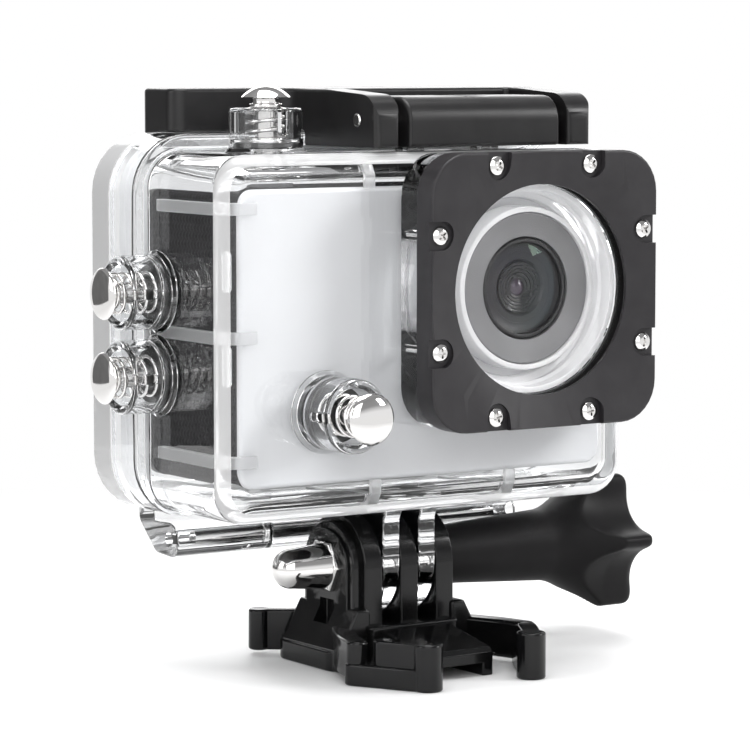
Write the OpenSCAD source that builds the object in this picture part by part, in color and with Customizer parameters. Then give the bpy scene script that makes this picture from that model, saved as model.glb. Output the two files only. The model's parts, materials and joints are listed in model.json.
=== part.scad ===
// Action camera inside a clear dive housing, standing on a quick-release buckle.
// +Z is up, the lens looks along -Y, and the origin is on the buckle's underside, below the tilt bolt.

/* [Mount] */
// Height of the tilt bolt above the buckle's underside
bolt_h = 14.3; // [14:0.1:15]
// Radius of the tilt bolt
bolt_r = 2.5; // [2.4:0.05:2.6]
// Radius of the buckle's three fingers
finger_r = 7.5; // [7.4:0.1:7.6]
// Distance from one finger to the next of the same side
finger_pitch = 6.1; // [6.1:0.05:6.3]
// Radius over the lobes of the thumb screw
knob_r = 10.3; // [9.5:0.1:10.3]

/* [Housing] */
// Width of the clear shell
shell_w = 68.8; // [68:0.1:70]
// Height of the clear shell
shell_h = 50.7; // [50:0.1:52]
// Thickness of the clear walls
wall = 2; // [1.8:0.1:2]
// Depth from the shell's front face to its flange
shell_d = 19.9; // [19.5:0.1:20.5]
// Depth of the flange that the door closes on
flange_d = 7; // [6.5:0.1:7]
// Thickness of the back door
door_d = 5.8; // [5.6:0.1:6]
// Side of the square bezel round the lens window
bezel_w = 39; // [38.6:0.1:39]
// Radius of the lens window's opening
window_r = 14.9; // [14:0.1:15]

/* [Camera] */
// Width of the camera body
cam_w = 61.5; // [59:0.1:61.5]
// Height of the camera body
cam_h = 41.1; // [40:0.1:41.1]
// Radius of the grey ring round the lens
lens_ring_r = 10.75; // [10.4:0.05:10.8]

/* [Hidden] */
$fn = 96;
run = 0.05;

// Fingers: half thickness on the buckle and on the shell
buckle_finger_t = 1.5;
shell_finger_t = 1.45;
finger_root = 5;
// Buckle body, tongue and pinch tabs
base_x = 7.6;
base_y0 = -9;
base_y1 = 9.5;
base_h = 6.4;
plinth_h = 2.9;
tongue_x = 5.8;
tongue_y = -20;
tongue_h = 3.9;
tongue_root = base_y0 + 0.5;
deck_z = 1.8;
runner_x = 4.9;
runner_t = 0.9;
shoulder_y0 = -8;
shoulder_y1 = 7.5;
shoulder_top = 9;
tab_post = [14.6, -16];
tab_turn = -122.5;
tab_len = 11;
tab_ledge = 3.1;
tab_h = 6.6;
tab_t = 1.8;
arm_t = 1.6;
curl_at = [12.9, 12.6];
// Cap nut
nut_r = 4.04;
nut_x = -10.3;
nut_len = 3.3;
dome_r = 3.1;
dome_x = -15.7;
boss_x = -9;
boss_round = 6.5;
// Thumb screw
neck_x = 7.7;
neck_r0 = 4.1;
neck_r1 = 5.3;
star_x = 29.5;
star_flare = 7;
star_t = 6;
lobe_gap_r = 7;
lobe_gap_at = 13.6;
bolt_x0 = -15.2;
bolt_x1 = 30;

// Depths along Y, measured from the bolt
shell_y = -12.9;
flange_y = shell_y + shell_d;
door_y = flange_y + flange_d;
back_y = door_y + door_d;
bezel_y = -21;
box_y = -17;
pane_y0 = -19.2;
pane_y1 = -17.5;
pane_r = 16.9;
dish_r = 20;
// Centres of the shell, the flange, the camera and the lens
shell_z = bolt_h + 34;
flange_w = shell_w + 4.4;
flange_z = shell_z + 0.75;
flange_h = shell_h + 3.4;
flange_rim = 2 * wall + 0.2;
flange_floor = 1.5;
lens_x = 14.17;
lens_z = shell_z + 5.8;
cam_y = -10.9;
cam_back_y = 12;
skin = 1.2;
case_wall = 1.6;
rib_up = 0.4;
rib_y0 = -10;
rib_y1 = 6;
// Two ears of the shell that carry the lever
ears = [2, 15];
ear_t = 3;
ear_r = 2;
// Door hinge
hinge_y = 10;
hinge_z = bolt_h + 4.1;
hinge_r = 2.5;
hinge_pin_r = 1;
knuckle_in = 13.7;
knuckle_out = 29.5;
// Latch: the lever turns in the shell, the frame turns on the lever
lever_y = -1.8;
lever_z = shell_z + 29;
frame_y = -7.2;
frame_z = lever_z + 0.7;
latch_pin_r = 1;
latch_front = -12.2;
latch_top = shell_z + 34;
latch_low = shell_z + 25.9;
lever_x0 = -3.2;
lever_x1 = 22.8;
arm_l0 = -8.8;
arm_l1 = -4.8;
arm_r0 = 24.2;
arm_r1 = 28.5;
bar_x0 = -26.6;
bar_y = 13;
bar_front = 3;
bar_back = 22.5;
grip_r = 13.8;
// Push-rods
stem_r = 1.5;
boss_r = 5.2;
well_r = 3.9;
slot_w = 1.1;
slot_h = 3.6;
clip_room_r = 3.3;
shutter_h = 6.1;
power_h = 7.6;
side_h = 6.2;
cap_r = 3.6;
cap_collar_r = 2.4;
cap_collar_t = 0.6;
seal_r = 4.6;
top_btn = [-20.2, -1.5];
front_btn = [-17.5, shell_z - 10.3];
side_btn_y = 4.5;
side_up_z = shell_z + 6;
side_down_z = shell_z - 5.7;

// Rectangle with true round corners, centred
module rrect(w, h, r) {
    square([w - 2 * r, h], center = true);
    square([w, h - 2 * r], center = true);
    for (x = [-1, 1], z = [-1, 1])
        translate([x * (w / 2 - r), z * (h / 2 - r)]) circle(r);
}
// Rounded slab between two depths, centred on x, z
module slab(w, h, r, y0, y1, x = 0, z = 0) {
    translate([x, y1, z]) rotate([90, 0, 0]) linear_extrude(y1 - y0) rrect(w, h, r);
}
// Profile drawn in Y and Z, drawn out along X
module prism_x(x0, x1, pts) {
    translate([x0, 0, 0]) rotate([90, 0, 90]) linear_extrude(x1 - x0) polygon(pts);
}
// Rods along X and along Y
module rod_x(x0, x1, r, y, z) { translate([x0, y, z]) rotate([0, 90, 0]) cylinder(x1 - x0, r, r); }
module rod_y(y0, y1, r, x, z) { translate([x, y1, z]) rotate([90, 0, 0]) cylinder(y1 - y0, r, r); }
module block(a, b) { translate(a) cube(b - a); }

// The four push-rod stations: local +Z points out of the wall, local 0 is the wall's outer face
module at_shutter() { translate([top_btn[0], top_btn[1], shell_z + shell_h / 2]) children(); }
module at_power() { translate([front_btn[0], shell_y, front_btn[1]]) rotate([90, 0, 0]) children(); }
module at_side(z) { translate([-shell_w / 2, side_btn_y, z]) rotate([0, -90, 0]) children(); }

// ---------- Quick-release buckle ----------
module finger(x, r) {
    difference() {
        union() {
            rod_x(x - buckle_finger_t, x + buckle_finger_t, r, 0, bolt_h);
            block([x - buckle_finger_t, -r, finger_root], [x + buckle_finger_t, r, bolt_h]);
        }
        rod_x(x - 2, x + 2, bolt_r + run, 0, bolt_h);
    }
}
module spring_tab(side) {
    mirror([side < 0 ? 1 : 0, 0, 0]) {
        // pinch plate, lower ledge and upper wall, on the line from the arm to the front end
        translate(tab_post) rotate([0, 0, tab_turn]) {
            block([0, -tab_t, 0], [tab_len, tab_t, tab_ledge]);
            cylinder(tab_ledge, tab_t, tab_t);
            translate([tab_len, 0, 0]) cylinder(tab_h, tab_t, tab_t);
            block([2.6, -1.5, tab_ledge - 0.1], [tab_len, 1.5, tab_h]);
        }
        // shoulder from the body out to the plate
        translate([8.6, -3, 0.8]) rotate([0, 0, -65]) block([-2, -arm_t, 0], [14, arm_t, 5.6]);
        // rear wing with its curled end
        translate([6.5, 8.5, 0.7]) rotate([0, 0, 33]) block([0, -1, 0], [7.6, 1, 6]);
        translate([curl_at[0], curl_at[1], 0.7]) cylinder(6, arm_t, arm_t);
    }
}
module buckle_base() color([0.03, 0.03, 0.03]) {
    difference() {
        union() {
            for (i = [-1:1]) finger(i * finger_pitch, finger_r);
            // boss that holds the cap nut
            difference() {
                union() {
                    rod_x(boss_x, -base_x, boss_round, 0, bolt_h);
                    block([boss_x, -boss_round, 8], [-base_x, boss_round, bolt_h]);
                }
                rod_x(boss_x - 1, -base_x + 1, bolt_r + run, 0, bolt_h);
            }
            block([-base_x, base_y0, 0], [base_x, base_y1, base_h]);
            // sloping shoulders on both sides
            for (s = [0, 1]) mirror([s, 0, 0])
                translate([0, shoulder_y1, 0]) rotate([90, 0, 0]) linear_extrude(shoulder_y1 - shoulder_y0)
                    polygon([[7.5, 0], [12, 0], [12, 3.4], [9, shoulder_top], [7.5, shoulder_top]]);
            translate([0, 1, 0]) linear_extrude(plinth_h) rrect(25, 18, 3.5);
            // sloping tongue on two runners
            prism_x(-tongue_x, tongue_x, [[tongue_y, deck_z], [tongue_root, deck_z],
                [tongue_root, base_h - 0.4], [tongue_y + 0.6, tongue_h], [tongue_y, tongue_h - 0.5]]);
            for (s = [-1, 1])
                block([s * runner_x - runner_t, tongue_y, 0],
                    [s * runner_x + runner_t, tongue_root, deck_z + 0.2]);
            spring_tab(-1);
            spring_tab(1);
        }
        // hexagon seat of the cap nut
        translate([boss_x - 1, 0, bolt_h]) rotate([0, 90, 0]) cylinder(3.1, r = nut_r + run, $fn = 6);
    }
}
module cap_nut() color("silver") {
    difference() {
        union() {
            translate([nut_x, 0, bolt_h]) rotate([0, 90, 0]) cylinder(nut_len, r = nut_r, $fn = 6);
            rod_x(dome_x, nut_x + 0.1, dome_r, 0, bolt_h);
            translate([dome_x, 0, bolt_h]) sphere(dome_r);
        }
        rod_x(bolt_x0 - 0.3, nut_x + nut_len + 1, bolt_r + run, 0, bolt_h);
    }
}
module lobes(r) {
    difference() {
        circle(r);
        for (a = [68:72:356]) rotate(a) translate([lobe_gap_at, 0]) circle(lobe_gap_r);
    }
}
module thumb_screw_knob() color([0.08, 0.08, 0.08]) {
    difference() {
        union() {
            translate([neck_x, 0, bolt_h]) rotate([0, 90, 0]) cylinder(star_x + 1 - neck_x, neck_r0, neck_r1);
            intersection() {
                translate([star_x, 0, bolt_h]) rotate([0, 90, 0]) {
                    cylinder(star_flare, neck_r1 - 0.1, knob_r);
                    translate([0, 0, star_flare]) cylinder(star_t, knob_r, knob_r);
                }
                translate([star_x - 1, 0, bolt_h]) rotate([90, 0, 90])
                    linear_extrude(star_flare + star_t + 1) lobes(knob_r);
            }
        }
        rod_x(neck_x - 1, bolt_x1, bolt_r, 0, bolt_h);
    }
}
module tilt_bolt() color("silver") rod_x(bolt_x0, bolt_x1, bolt_r, 0, bolt_h);

// ---------- Housing ----------
module boss(h, slot_turn = 90) {
    difference() {
        translate([0, 0, -0.4]) cylinder(h + 0.4, boss_r, boss_r);
        for (a = [0, 180]) rotate(a + slot_turn)
            block([1.2, -slot_w / 2, h - slot_h], [boss_r + 1, slot_w / 2, h + 1]);
    }
}
// Everything that is cut for a push-rod: well, seal seat, stem bore, and clip pocket if there is one
module boss_cuts(h, floor_z, pocket_top) {
    translate([0, 0, floor_z]) cylinder(h + 1 - floor_z, well_r, well_r);
    translate([0, 0, floor_z]) cylinder(1.3, seal_r, seal_r);
    translate([0, 0, -4]) cylinder(8, stem_r + run, stem_r + run);
    if (pocket_top > -2.5)
        translate([0, 0, -wall - 1]) cylinder(pocket_top + wall + 1, clip_room_r, clip_room_r);
}
module shell_solid() {
    slab(shell_w, shell_h, 5, shell_y, flange_y + 1, 0, shell_z);
    slab(flange_w, flange_h, 8.5, flange_y, door_y, 0, flange_z);
    slab(bezel_w - 0.4, bezel_w - 0.4, 6, box_y, shell_y + 0.5, lens_x, lens_z);
    at_shutter() boss(shutter_h);
    at_power() boss(power_h, 0);
    for (z = [side_up_z, side_down_z]) at_side(z) boss(side_h);
    // raised ribs on the walls
    for (z = [shell_z + 18, shell_z + 0.2, shell_z - 17])
        block([-shell_w / 2 - rib_up, rib_y0, z - 1], [-30, rib_y1, z + 1]);
    for (x = [-9, 14]) block([x - 1, rib_y0, shell_z - shell_h / 2 - rib_up], [x + 1, rib_y1, shell_z - 24]);
    block([-10, rib_y0, shell_z + 24], [-8.9, rib_y1, shell_z + shell_h / 2 + 0.3]);
    // mounting fingers
    for (s = [-1, 1]) shell_finger(s * finger_pitch / 2);
    // middle hinge knuckle and its web
    rod_x(-knuckle_in, knuckle_in, hinge_r, hinge_y, hinge_z);
    block([-knuckle_in, hinge_y - 1.5, hinge_z], [knuckle_in, hinge_y + 1.5, flange_z - flange_h / 2 + 1]);
    // two ears for the lever's pin
    for (x = ears) {
        rod_x(x, x + ear_t, ear_r, lever_y, lever_z);
        block([x, lever_y - ear_r, shell_z + 25], [x + ear_t, lever_y + ear_r, lever_z]);
    }
}
module shell_finger(x) {
    r = finger_r - 0.1;
    rod_x(x - shell_finger_t, x + shell_finger_t, r, 0, bolt_h);
    block([x - shell_finger_t, -r, bolt_h], [x + shell_finger_t, r, shell_z - 25]);
}
module front_shell() color([0.85, 0.9, 0.92, 0.4]) {
    difference() {
        shell_solid();
        slab(shell_w - 2 * wall, shell_h - 2 * wall, 3.4, shell_y + 1.8, door_y + 1, 0, shell_z);
        slab(flange_w - flange_rim, flange_h - flange_rim, 6.4, flange_y + flange_floor, door_y + 1,
            0, flange_z);
        rod_y(box_y - 1, shell_y + 3, window_r, lens_x, lens_z);
        at_shutter() boss_cuts(shutter_h, 0.2, -9);
        at_power() boss_cuts(power_h, 1.7, 0.3);
        for (z = [side_up_z, side_down_z]) at_side(z) boss_cuts(side_h, 0.2, -9);
        rod_x(-40, 40, hinge_pin_r + run / 5, hinge_y, hinge_z);
        rod_x(-10, 30, latch_pin_r + run, lever_y, lever_z);
        rod_x(-10, 10, bolt_r + run, 0, bolt_h);
        bezel_holes() rod_y(bezel_y - 1, -13.3, screw_r + 0.03, 0, 0);
    }
}
module hinge_pin() color("silver") rod_x(-26, 26, hinge_pin_r, hinge_y, hinge_z);
module door_seal() color("white") {
    difference() {
        slab(flange_w - 2 * wall - 0.4, flange_h - 2 * wall - 0.4, 6.3, 8.7, 13.1, 0, flange_z);
        slab(shell_w - 2 * wall - 0.6, shell_h - 2 * wall - 0.6, 3.2, 8, 14, 0, shell_z + 0.4);
    }
}
module window_seal() color([0.1, 0.1, 0.1]) {
    difference() {
        rod_y(pane_y1, box_y, pane_r, lens_x, lens_z);
        rod_y(pane_y1 - 1, box_y + 1, window_r + 0.1, lens_x, lens_z);
    }
}
module lens_window() color([0.8, 0.9, 0.95, 0.3]) rod_y(pane_y0, pane_y1, pane_r, lens_x, lens_z);

screw_a = 8.13;
screw_b = 17.61;
screw_seat_y = -20;
screw_seat_r = 2;
screw_r = 0.82;
screw_head_r = 1.35;
screw_spots = [for (s = [-1, 1], t = [-1, 1]) each [[s * screw_a, t * screw_b], [s * screw_b, t * screw_a]]];
module bezel_holes() for (p = screw_spots) translate([lens_x + p[0], 0, lens_z + p[1]]) children();
module bezel() color([0.1, 0.1, 0.1]) {
    difference() {
        slab(bezel_w, bezel_w, 6, bezel_y, box_y, lens_x, lens_z);
        rod_y(bezel_y - 1, box_y + 1, window_r, lens_x, lens_z);
        rod_y(pane_y0 - 0.1, box_y + 1, pane_r + 0.1, lens_x, lens_z);
        // dished front
        translate([lens_x, bezel_y + 1, lens_z]) rotate([90, 0, 0]) cylinder(1, window_r, dish_r);
        // screw seats, open to the bezel's edge
        bezel_holes() rod_y(bezel_y - 1, screw_seat_y, screw_seat_r, 0, 0);
        for (p = screw_spots) {
            vertical = abs(p[1]) > abs(p[0]);
            out = vertical ? [0, 4 * sign(p[1])] : [4 * sign(p[0]), 0];
            size = vertical ? [screw_seat_r, 2.2] : [2.2, screw_seat_r];
            c = [lens_x + p[0] + out[0] / 2, lens_z + p[1] + out[1] / 2];
            block([c[0] - size[0], bezel_y - 1, c[1] - size[1]],
                [c[0] + size[0], screw_seat_y, c[1] + size[1]]);
        }
        bezel_holes() rod_y(bezel_y - 1, box_y + 1, screw_r + 0.05, 0, 0);
    }
}
module bezel_screws() color("silver") bezel_holes() {
    difference() {
        union() {
            rod_y(screw_seat_y - 0.7, screw_seat_y, screw_head_r, 0, 0);
            rod_y(screw_seat_y - 0.2, -13.6, screw_r, 0, 0);
        }
        for (a = [20, 110]) translate([0, screw_seat_y - 0.7, 0]) rotate([0, a, 0])
            block([-0.9, -0.5, -0.16], [0.9, 0.3, 0.16]);
    }
}

// ---------- Back door ----------
bevel_top = flange_z + flange_h / 2;
bevel_y = back_y - 2.8;
bevel_slope = 0.84;
module back_door() color([0.85, 0.9, 0.92, 0.4]) {
    difference() {
        union() {
            slab(flange_w, flange_h, 8.5, door_y + 0.05, back_y, 0, flange_z);
            slab(cam_w - 1, 45, 3, 12.3, door_y + 0.5, 0, shell_z + 0.4);
            for (s = [0, 1]) mirror([s, 0, 0]) door_lug();
        }
        // shallow window recess in the back
        slab(54, 40, 4, 16.6, back_y + 1, 0, flange_z);
        // sloping ledge for the hook
        prism_x(-40, 40, [[bevel_y, bevel_top], [bevel_y, bevel_top + 1], [back_y + 1, bevel_top + 1],
            [back_y + 1, bevel_top - bevel_slope * (back_y + 1 - bevel_y)]]);
        rod_x(-40, 40, hinge_pin_r + run, hinge_y, hinge_z);
    }
}
module door_lug() {
    rod_x(knuckle_in + 0.3, knuckle_out, hinge_r, hinge_y, hinge_z);
    prism_x(knuckle_in + 0.3, knuckle_out, [[hinge_y, hinge_z - hinge_r], [door_y, hinge_z - 2.3],
        [back_y - 1, hinge_z + 2], [back_y - 1, hinge_z + 7], [door_y + 0.05, hinge_z + 7],
        [door_y + 0.05, hinge_z + 2.3], [hinge_y, hinge_z + 2.3]]);
}

// ---------- Latch ----------
function arc(cy, cz, r, a0, a1, n = 8) =
    [for (i = [0:n]) let (a = a0 + (a1 - a0) * i / n) [cy + r * cos(a), cz + r * sin(a)]];
front_r = 5;
lever_back = lever_y + 1.5;
module latch_lever() color([0.09, 0.09, 0.09]) {
    top_z = latch_top - 1;
    outline = concat([[lever_back, top_z]],
        arc(latch_front + front_r, top_z - front_r, front_r, 90, 180),
        [[latch_front, latch_low], [lever_y, latch_low]],
        arc(lever_y, lever_z, lever_z - latch_low, -90, 0));
    difference() {
        prism_x(lever_x0, lever_x1, outline);
        // hollow underside, open at the back
        block([lever_x0 + 1.7, latch_front + 2, latch_low - 1], [lever_x1 - 1.7, lever_y + 5, lever_z + 2.4]);
        rod_x(lever_x0 - 1, lever_x1 + 1, latch_pin_r, lever_y, lever_z);
        rod_x(lever_x0 - 1, lever_x0 + 3, latch_pin_r + run, frame_y, frame_z);
        rod_x(lever_x1 - 3, lever_x1 + 1, latch_pin_r + run, frame_y, frame_z);
        // thumb grip
        translate([(lever_x0 + lever_x1) / 2, -5.5, latch_top + 12]) sphere(grip_r);
    }
}
module lever_pin() color("silver") rod_x(lever_x0 + 0.3, lever_x1 - 0.3, latch_pin_r, lever_y, lever_z);
module latch_arm(x0, x1) {
    prism_x(x0, x1, concat([[14, latch_top], [-4, latch_top - 0.4]],
        arc(latch_front + front_r, latch_top - 1 - front_r, front_r, 90, 180),
        [[latch_front, latch_low], [6.4, latch_low], [6.4, latch_low + 2.2], [14, latch_low + 2.2]]));
}
hook_gap = 0.25;
module latch_frame() color([0.08, 0.08, 0.08]) {
    bar_low = latch_low + 2.2;
    hook_y = back_y + 0.6 + hook_gap;
    hook_low = bevel_top - bevel_slope * 3.4 + 0.5;
    difference() {
        union() {
            latch_arm(arm_l0, arm_l1);
            latch_arm(arm_r0, arm_r1);
            // rear bar with the hook over the door's sloping ledge
            prism_x(bar_x0, arm_r1, [[bar_y, bar_low], [bevel_y + hook_gap, bar_low], [hook_y, hook_low],
                [bar_back, hook_low], [bar_back, latch_top - 0.8], [bar_back - 0.8, latch_top],
                [bar_y, latch_top]]);
            block([arm_l1 - 1, bar_front, bar_low], [arm_r0 + 1, 14, latch_top - 0.2]);
        }
        for (x = [arm_l0 - 1, arm_r0 - 1]) rod_x(x, x + 6.5, latch_pin_r, frame_y, frame_z);
    }
}
module frame_pins() color("silver") {
    rod_x(arm_l0 - 0.1, lever_x0 + 1.5, latch_pin_r, frame_y, frame_z);
    rod_x(lever_x1 - 1.5, arm_r1 + 0.1, latch_pin_r, frame_y, frame_z);
}

// ---------- Push-rods ----------
module plunger(h, lift, inner, flat = false, rise = 1) {
    color("silver") {
        translate([0, 0, inner]) cylinder(h + lift - inner + 0.3, stem_r, stem_r);
        if (flat) translate([0, 0, h + lift]) intersection() {
            cylinder(1.7, 3.45, 3.45);
            translate([0, 0, 1.6 - 4.5]) sphere(4.5);
        }
        else {
            // low cap on a short collar
            ball = (cap_r * cap_r + rise * rise) / (2 * rise);
            translate([0, 0, h + lift - cap_collar_t])
                cylinder(cap_collar_t + 0.2, cap_collar_r, cap_collar_r);
            translate([0, 0, h + lift]) intersection() {
                cylinder(rise + 1, cap_r + 1, cap_r + 1);
                translate([0, 0, rise - ball]) sphere(ball, $fn = 160);
            }
        }
    }
}
module coil(z0, z1, turns = 4, wire = 0.3, radius = 2.6) {
    sides = 6;
    rings = turns * 14;
    pts = [for (i = [0:rings], j = [0:sides - 1])
        let (a = 360 * turns * i / rings, b = 360 * j / sides, q = radius + wire * cos(b))
        [q * cos(a), q * sin(a), z0 + wire + (z1 - z0 - 2 * wire) * i / rings + wire * sin(b)]];
    faces = concat([[for (j = [0:sides - 1]) j]], [[for (j = [sides - 1:-1:0]) rings * sides + j]],
        [for (i = [0:rings - 1], j = [0:sides - 1]) let (k = (j + 1) % sides)
            [i * sides + j, (i + 1) * sides + j, (i + 1) * sides + k, i * sides + k]]);
    polyhedron(pts, faces, convexity = 8);
}
module seal(z) color([0.05, 0.05, 0.05]) translate([0, 0, z]) difference() {
    cylinder(1.2, seal_r - run, seal_r - run);
    translate([0, 0, -1]) cylinder(3, stem_r + 0.02, stem_r + 0.02);
}
module clip(z) color("silver") translate([0, 0, z]) difference() {
    cylinder(0.35, 2.6, 2.6);
    translate([0, 0, -1]) cylinder(3, stem_r, stem_r);
    block([0, -0.8, -1], [4, 0.8, 2]);
}
module shutter_plunger() at_shutter() plunger(shutter_h, 1.5, -2.8, true);
module power_plunger() at_power() plunger(power_h, 3.6, -0.4, rise = 1.4);
module up_plunger() at_side(side_up_z) plunger(side_h, 2.2, -2.7);
module down_plunger() at_side(side_down_z) plunger(side_h, 2.2, -2.7);
module shutter_spring() color("silver") at_shutter() coil(1.55, shutter_h + 1.4);
module power_spring() color("silver") at_power() coil(3.05, power_h + 1.4);
module up_spring() color("silver") at_side(side_up_z) coil(1.55, side_h + 0.3, 3);
module down_spring() color("silver") at_side(side_down_z) coil(1.55, side_h + 0.3, 3);
module shutter_seal() at_shutter() seal(0.25);
module power_seal() at_power() seal(1.75);
module up_seal() at_side(side_up_z) seal(0.25);
module down_seal() at_side(side_down_z) seal(0.25);
module shutter_clip() at_shutter() clip(-2.5);
module power_clip() at_power() clip(-0.2);
module up_clip() at_side(side_up_z) clip(-2.45);
module down_clip() at_side(side_down_z) clip(-2.45);

// ---------- Camera ----------
band_y0 = cam_y + skin;
band_y1 = cam_back_y - 1.5;
cam_top = shell_z + cam_h / 2;
cam_low = shell_z - cam_h / 2;
cam_side = cam_w / 2;
bat_x0 = -24;
bat_x1 = 4;
card_z = shell_z - 17;
cam_btn_r = 2.5;
cam_top_btn_r = 3.4;
cam_side_btn_r = 2.2;
module camera_front_plate() color([0.86, 0.87, 0.88]) difference() {
    slab(cam_w, cam_h, 2.5, cam_y, band_y0, 0, shell_z);
    rod_y(cam_y - 1, band_y0 + 1, lens_ring_r + run, lens_x, lens_z);
    rod_y(cam_y - 1, band_y0 + 1, cam_btn_r + run, front_btn[0], front_btn[1]);
}
module camera_side_band() color([0.06, 0.06, 0.06]) difference() {
    slab(cam_w, cam_h, 2.5, band_y0, band_y1, 0, shell_z);
    slab(cam_w - 2 * case_wall, cam_h - 2 * case_wall, 1, band_y0 - 1, band_y1 + 1, 0, shell_z);
    translate([top_btn[0], top_btn[1], cam_top - 3]) cylinder(5, cam_top_btn_r + run, cam_top_btn_r + run);
    for (z = [side_up_z, side_down_z])
        rod_x(-cam_side - 1, -cam_side + 3, cam_side_btn_r + run, side_btn_y, z);
    block([bat_x0 - 0.6, -2, cam_low - 1], [bat_x1 + 0.6, 9.6, cam_low + 3]);
    for (z = [shell_z - 8, shell_z + 3]) block([cam_side - 3, 2.3, z - 0.1], [cam_side + 1, 6, z + 8.1]);
    block([cam_side - 3, -4.5, card_z - 0.5], [cam_side + 1, -3, card_z + 11.5]);
}
module camera_back_cover() color([0.07, 0.07, 0.07]) difference() {
    slab(cam_w, cam_h, 2.5, band_y1, cam_back_y, 0, shell_z);
    slab(34.2, 28.2, 1, band_y1 - 1, cam_back_y + 1, 4, shell_z - 1);
    for (s = [-1, 1], t = [-1, 1])
        rod_y(band_y1 - 1, cam_back_y + 1, 1.2, s * (cam_side - 4), shell_z + t * (cam_h / 2 - 3.2));
    for (z = [0, 4]) rod_y(band_y1 - 1, cam_back_y + 1, 0.8, -20, shell_z + z);
}
module camera_case_screws() color("silver")
    for (s = [-1, 1], t = [-1, 1])
        rod_y(band_y1 + 0.1, cam_back_y - 0.3, 1.15, s * (cam_side - 4), shell_z + t * (cam_h / 2 - 3.2));
module screen_glass() color([0.1, 0.1, 0.12, 0.6]) slab(34, 28, 1, 11.2, 11.9, 4, shell_z - 1);
module screen_panel() color([0.05, 0.05, 0.08]) slab(33, 27, 0.6, 9.7, 11.1, 4, shell_z - 1);
module lens_ring() color([0.5, 0.5, 0.52]) difference() {
    rod_y(-16, band_y0 + 0.6, lens_ring_r, lens_x, lens_z);
    rod_y(-17, 0, 7.35, lens_x, lens_z);
}
module lens_barrel() color([0.04, 0.04, 0.04]) difference() {
    rod_y(-15.4, -2.2, 7.3, lens_x, lens_z);
    rod_y(-16, -13.9, 6.5, lens_x, lens_z);
    rod_y(-16, -1, 3.7, lens_x, lens_z);
}
module lens_front_glass() color([0.1, 0.08, 0.12, 0.6]) intersection() {
    rod_y(-16, -14, 6.45, lens_x, lens_z);
    translate([lens_x, 4.6, lens_z]) sphere(20.4, $fn = 240);
}
module lens_inner_glass() color([0.2, 0.15, 0.3, 0.6]) rod_y(-12, -10.5, 3.65, lens_x, lens_z);
module image_sensor() color([0.2, 0.3, 0.3])
    block([lens_x - 3.6, -2, lens_z - 3], [lens_x + 3.6, -1, lens_z + 3]);
module sensor_board() color([0.05, 0.3, 0.15])
    block([lens_x - 8, -0.95, lens_z - 8], [lens_x + 8, 0.1, lens_z + 8]);
module main_board() color([0.05, 0.3, 0.15])
    block([6.5, 0.6, cam_low + 2.4], [28.6, 1.8, cam_top - 2.4]);
module port_sockets() color("silver")
    for (z = [shell_z - 8, shell_z + 3]) block([cam_side - 8, 2.4, z], [cam_side - 0.3, 5.9, z + 8]);
module battery() color([0.2, 0.25, 0.3])
    slab(bat_x1 - bat_x0, 33, 1.5, -1.6, 9.2, (bat_x0 + bat_x1) / 2, cam_low + 18.6);
module battery_door() color([0.07, 0.07, 0.07])
    block([bat_x0 - 0.5, -1.9, cam_low], [bat_x1 + 0.5, 9.5, cam_low + case_wall]);
module memory_card() color([0.05, 0.05, 0.05])
    block([cam_side - 15.5, -4.2, card_z], [cam_side - 0.5, -3.3, card_z + 11]);
module speaker() color([0.3, 0.3, 0.3]) rod_y(-8, -5, 5, 18, shell_z - 12);
module status_lamps() color([0.2, 0.6, 0.9])
    for (z = [0, 4]) rod_y(band_y1 + 0.1, cam_back_y - 0.2, 0.75, -20, shell_z + z);
module camera_shutter_button() color([0.5, 0.5, 0.52])
    translate([top_btn[0], top_btn[1], cam_top - 1.5]) cylinder(2.45, cam_top_btn_r, cam_top_btn_r);
module camera_power_button() color([0.5, 0.5, 0.52])
    rod_y(cam_y - 0.5, cam_y + 1, cam_btn_r, front_btn[0], front_btn[1]);
module camera_up_button() color([0.1, 0.1, 0.1])
    rod_x(-cam_side - 0.25, -cam_side + 1.2, cam_side_btn_r, side_btn_y, side_up_z);
module camera_down_button() color([0.1, 0.1, 0.1])
    rod_x(-cam_side - 0.25, -cam_side + 1.2, cam_side_btn_r, side_btn_y, side_down_z);

buckle_base();
cap_nut();
thumb_screw_knob();
tilt_bolt();
front_shell();
hinge_pin();
door_seal();
lens_window();
window_seal();
bezel();
bezel_screws();
back_door();
latch_lever();
lever_pin();
latch_frame();
frame_pins();
shutter_plunger();
power_plunger();
up_plunger();
down_plunger();
shutter_spring();
power_spring();
up_spring();
down_spring();
shutter_seal();
power_seal();
up_seal();
down_seal();
shutter_clip();
power_clip();
up_clip();
down_clip();
camera_front_plate();
camera_side_band();
camera_back_cover();
camera_case_screws();
screen_glass();
screen_panel();
lens_ring();
lens_barrel();
lens_front_glass();
lens_inner_glass();
image_sensor();
sensor_board();
main_board();
port_sockets();
battery();
battery_door();
memory_card();
speaker();
status_lamps();
camera_shutter_button();
camera_power_button();
camera_up_button();
camera_down_button();
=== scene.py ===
import json
import math

import bmesh
import bpy
from mathutils import Matrix, Vector


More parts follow.
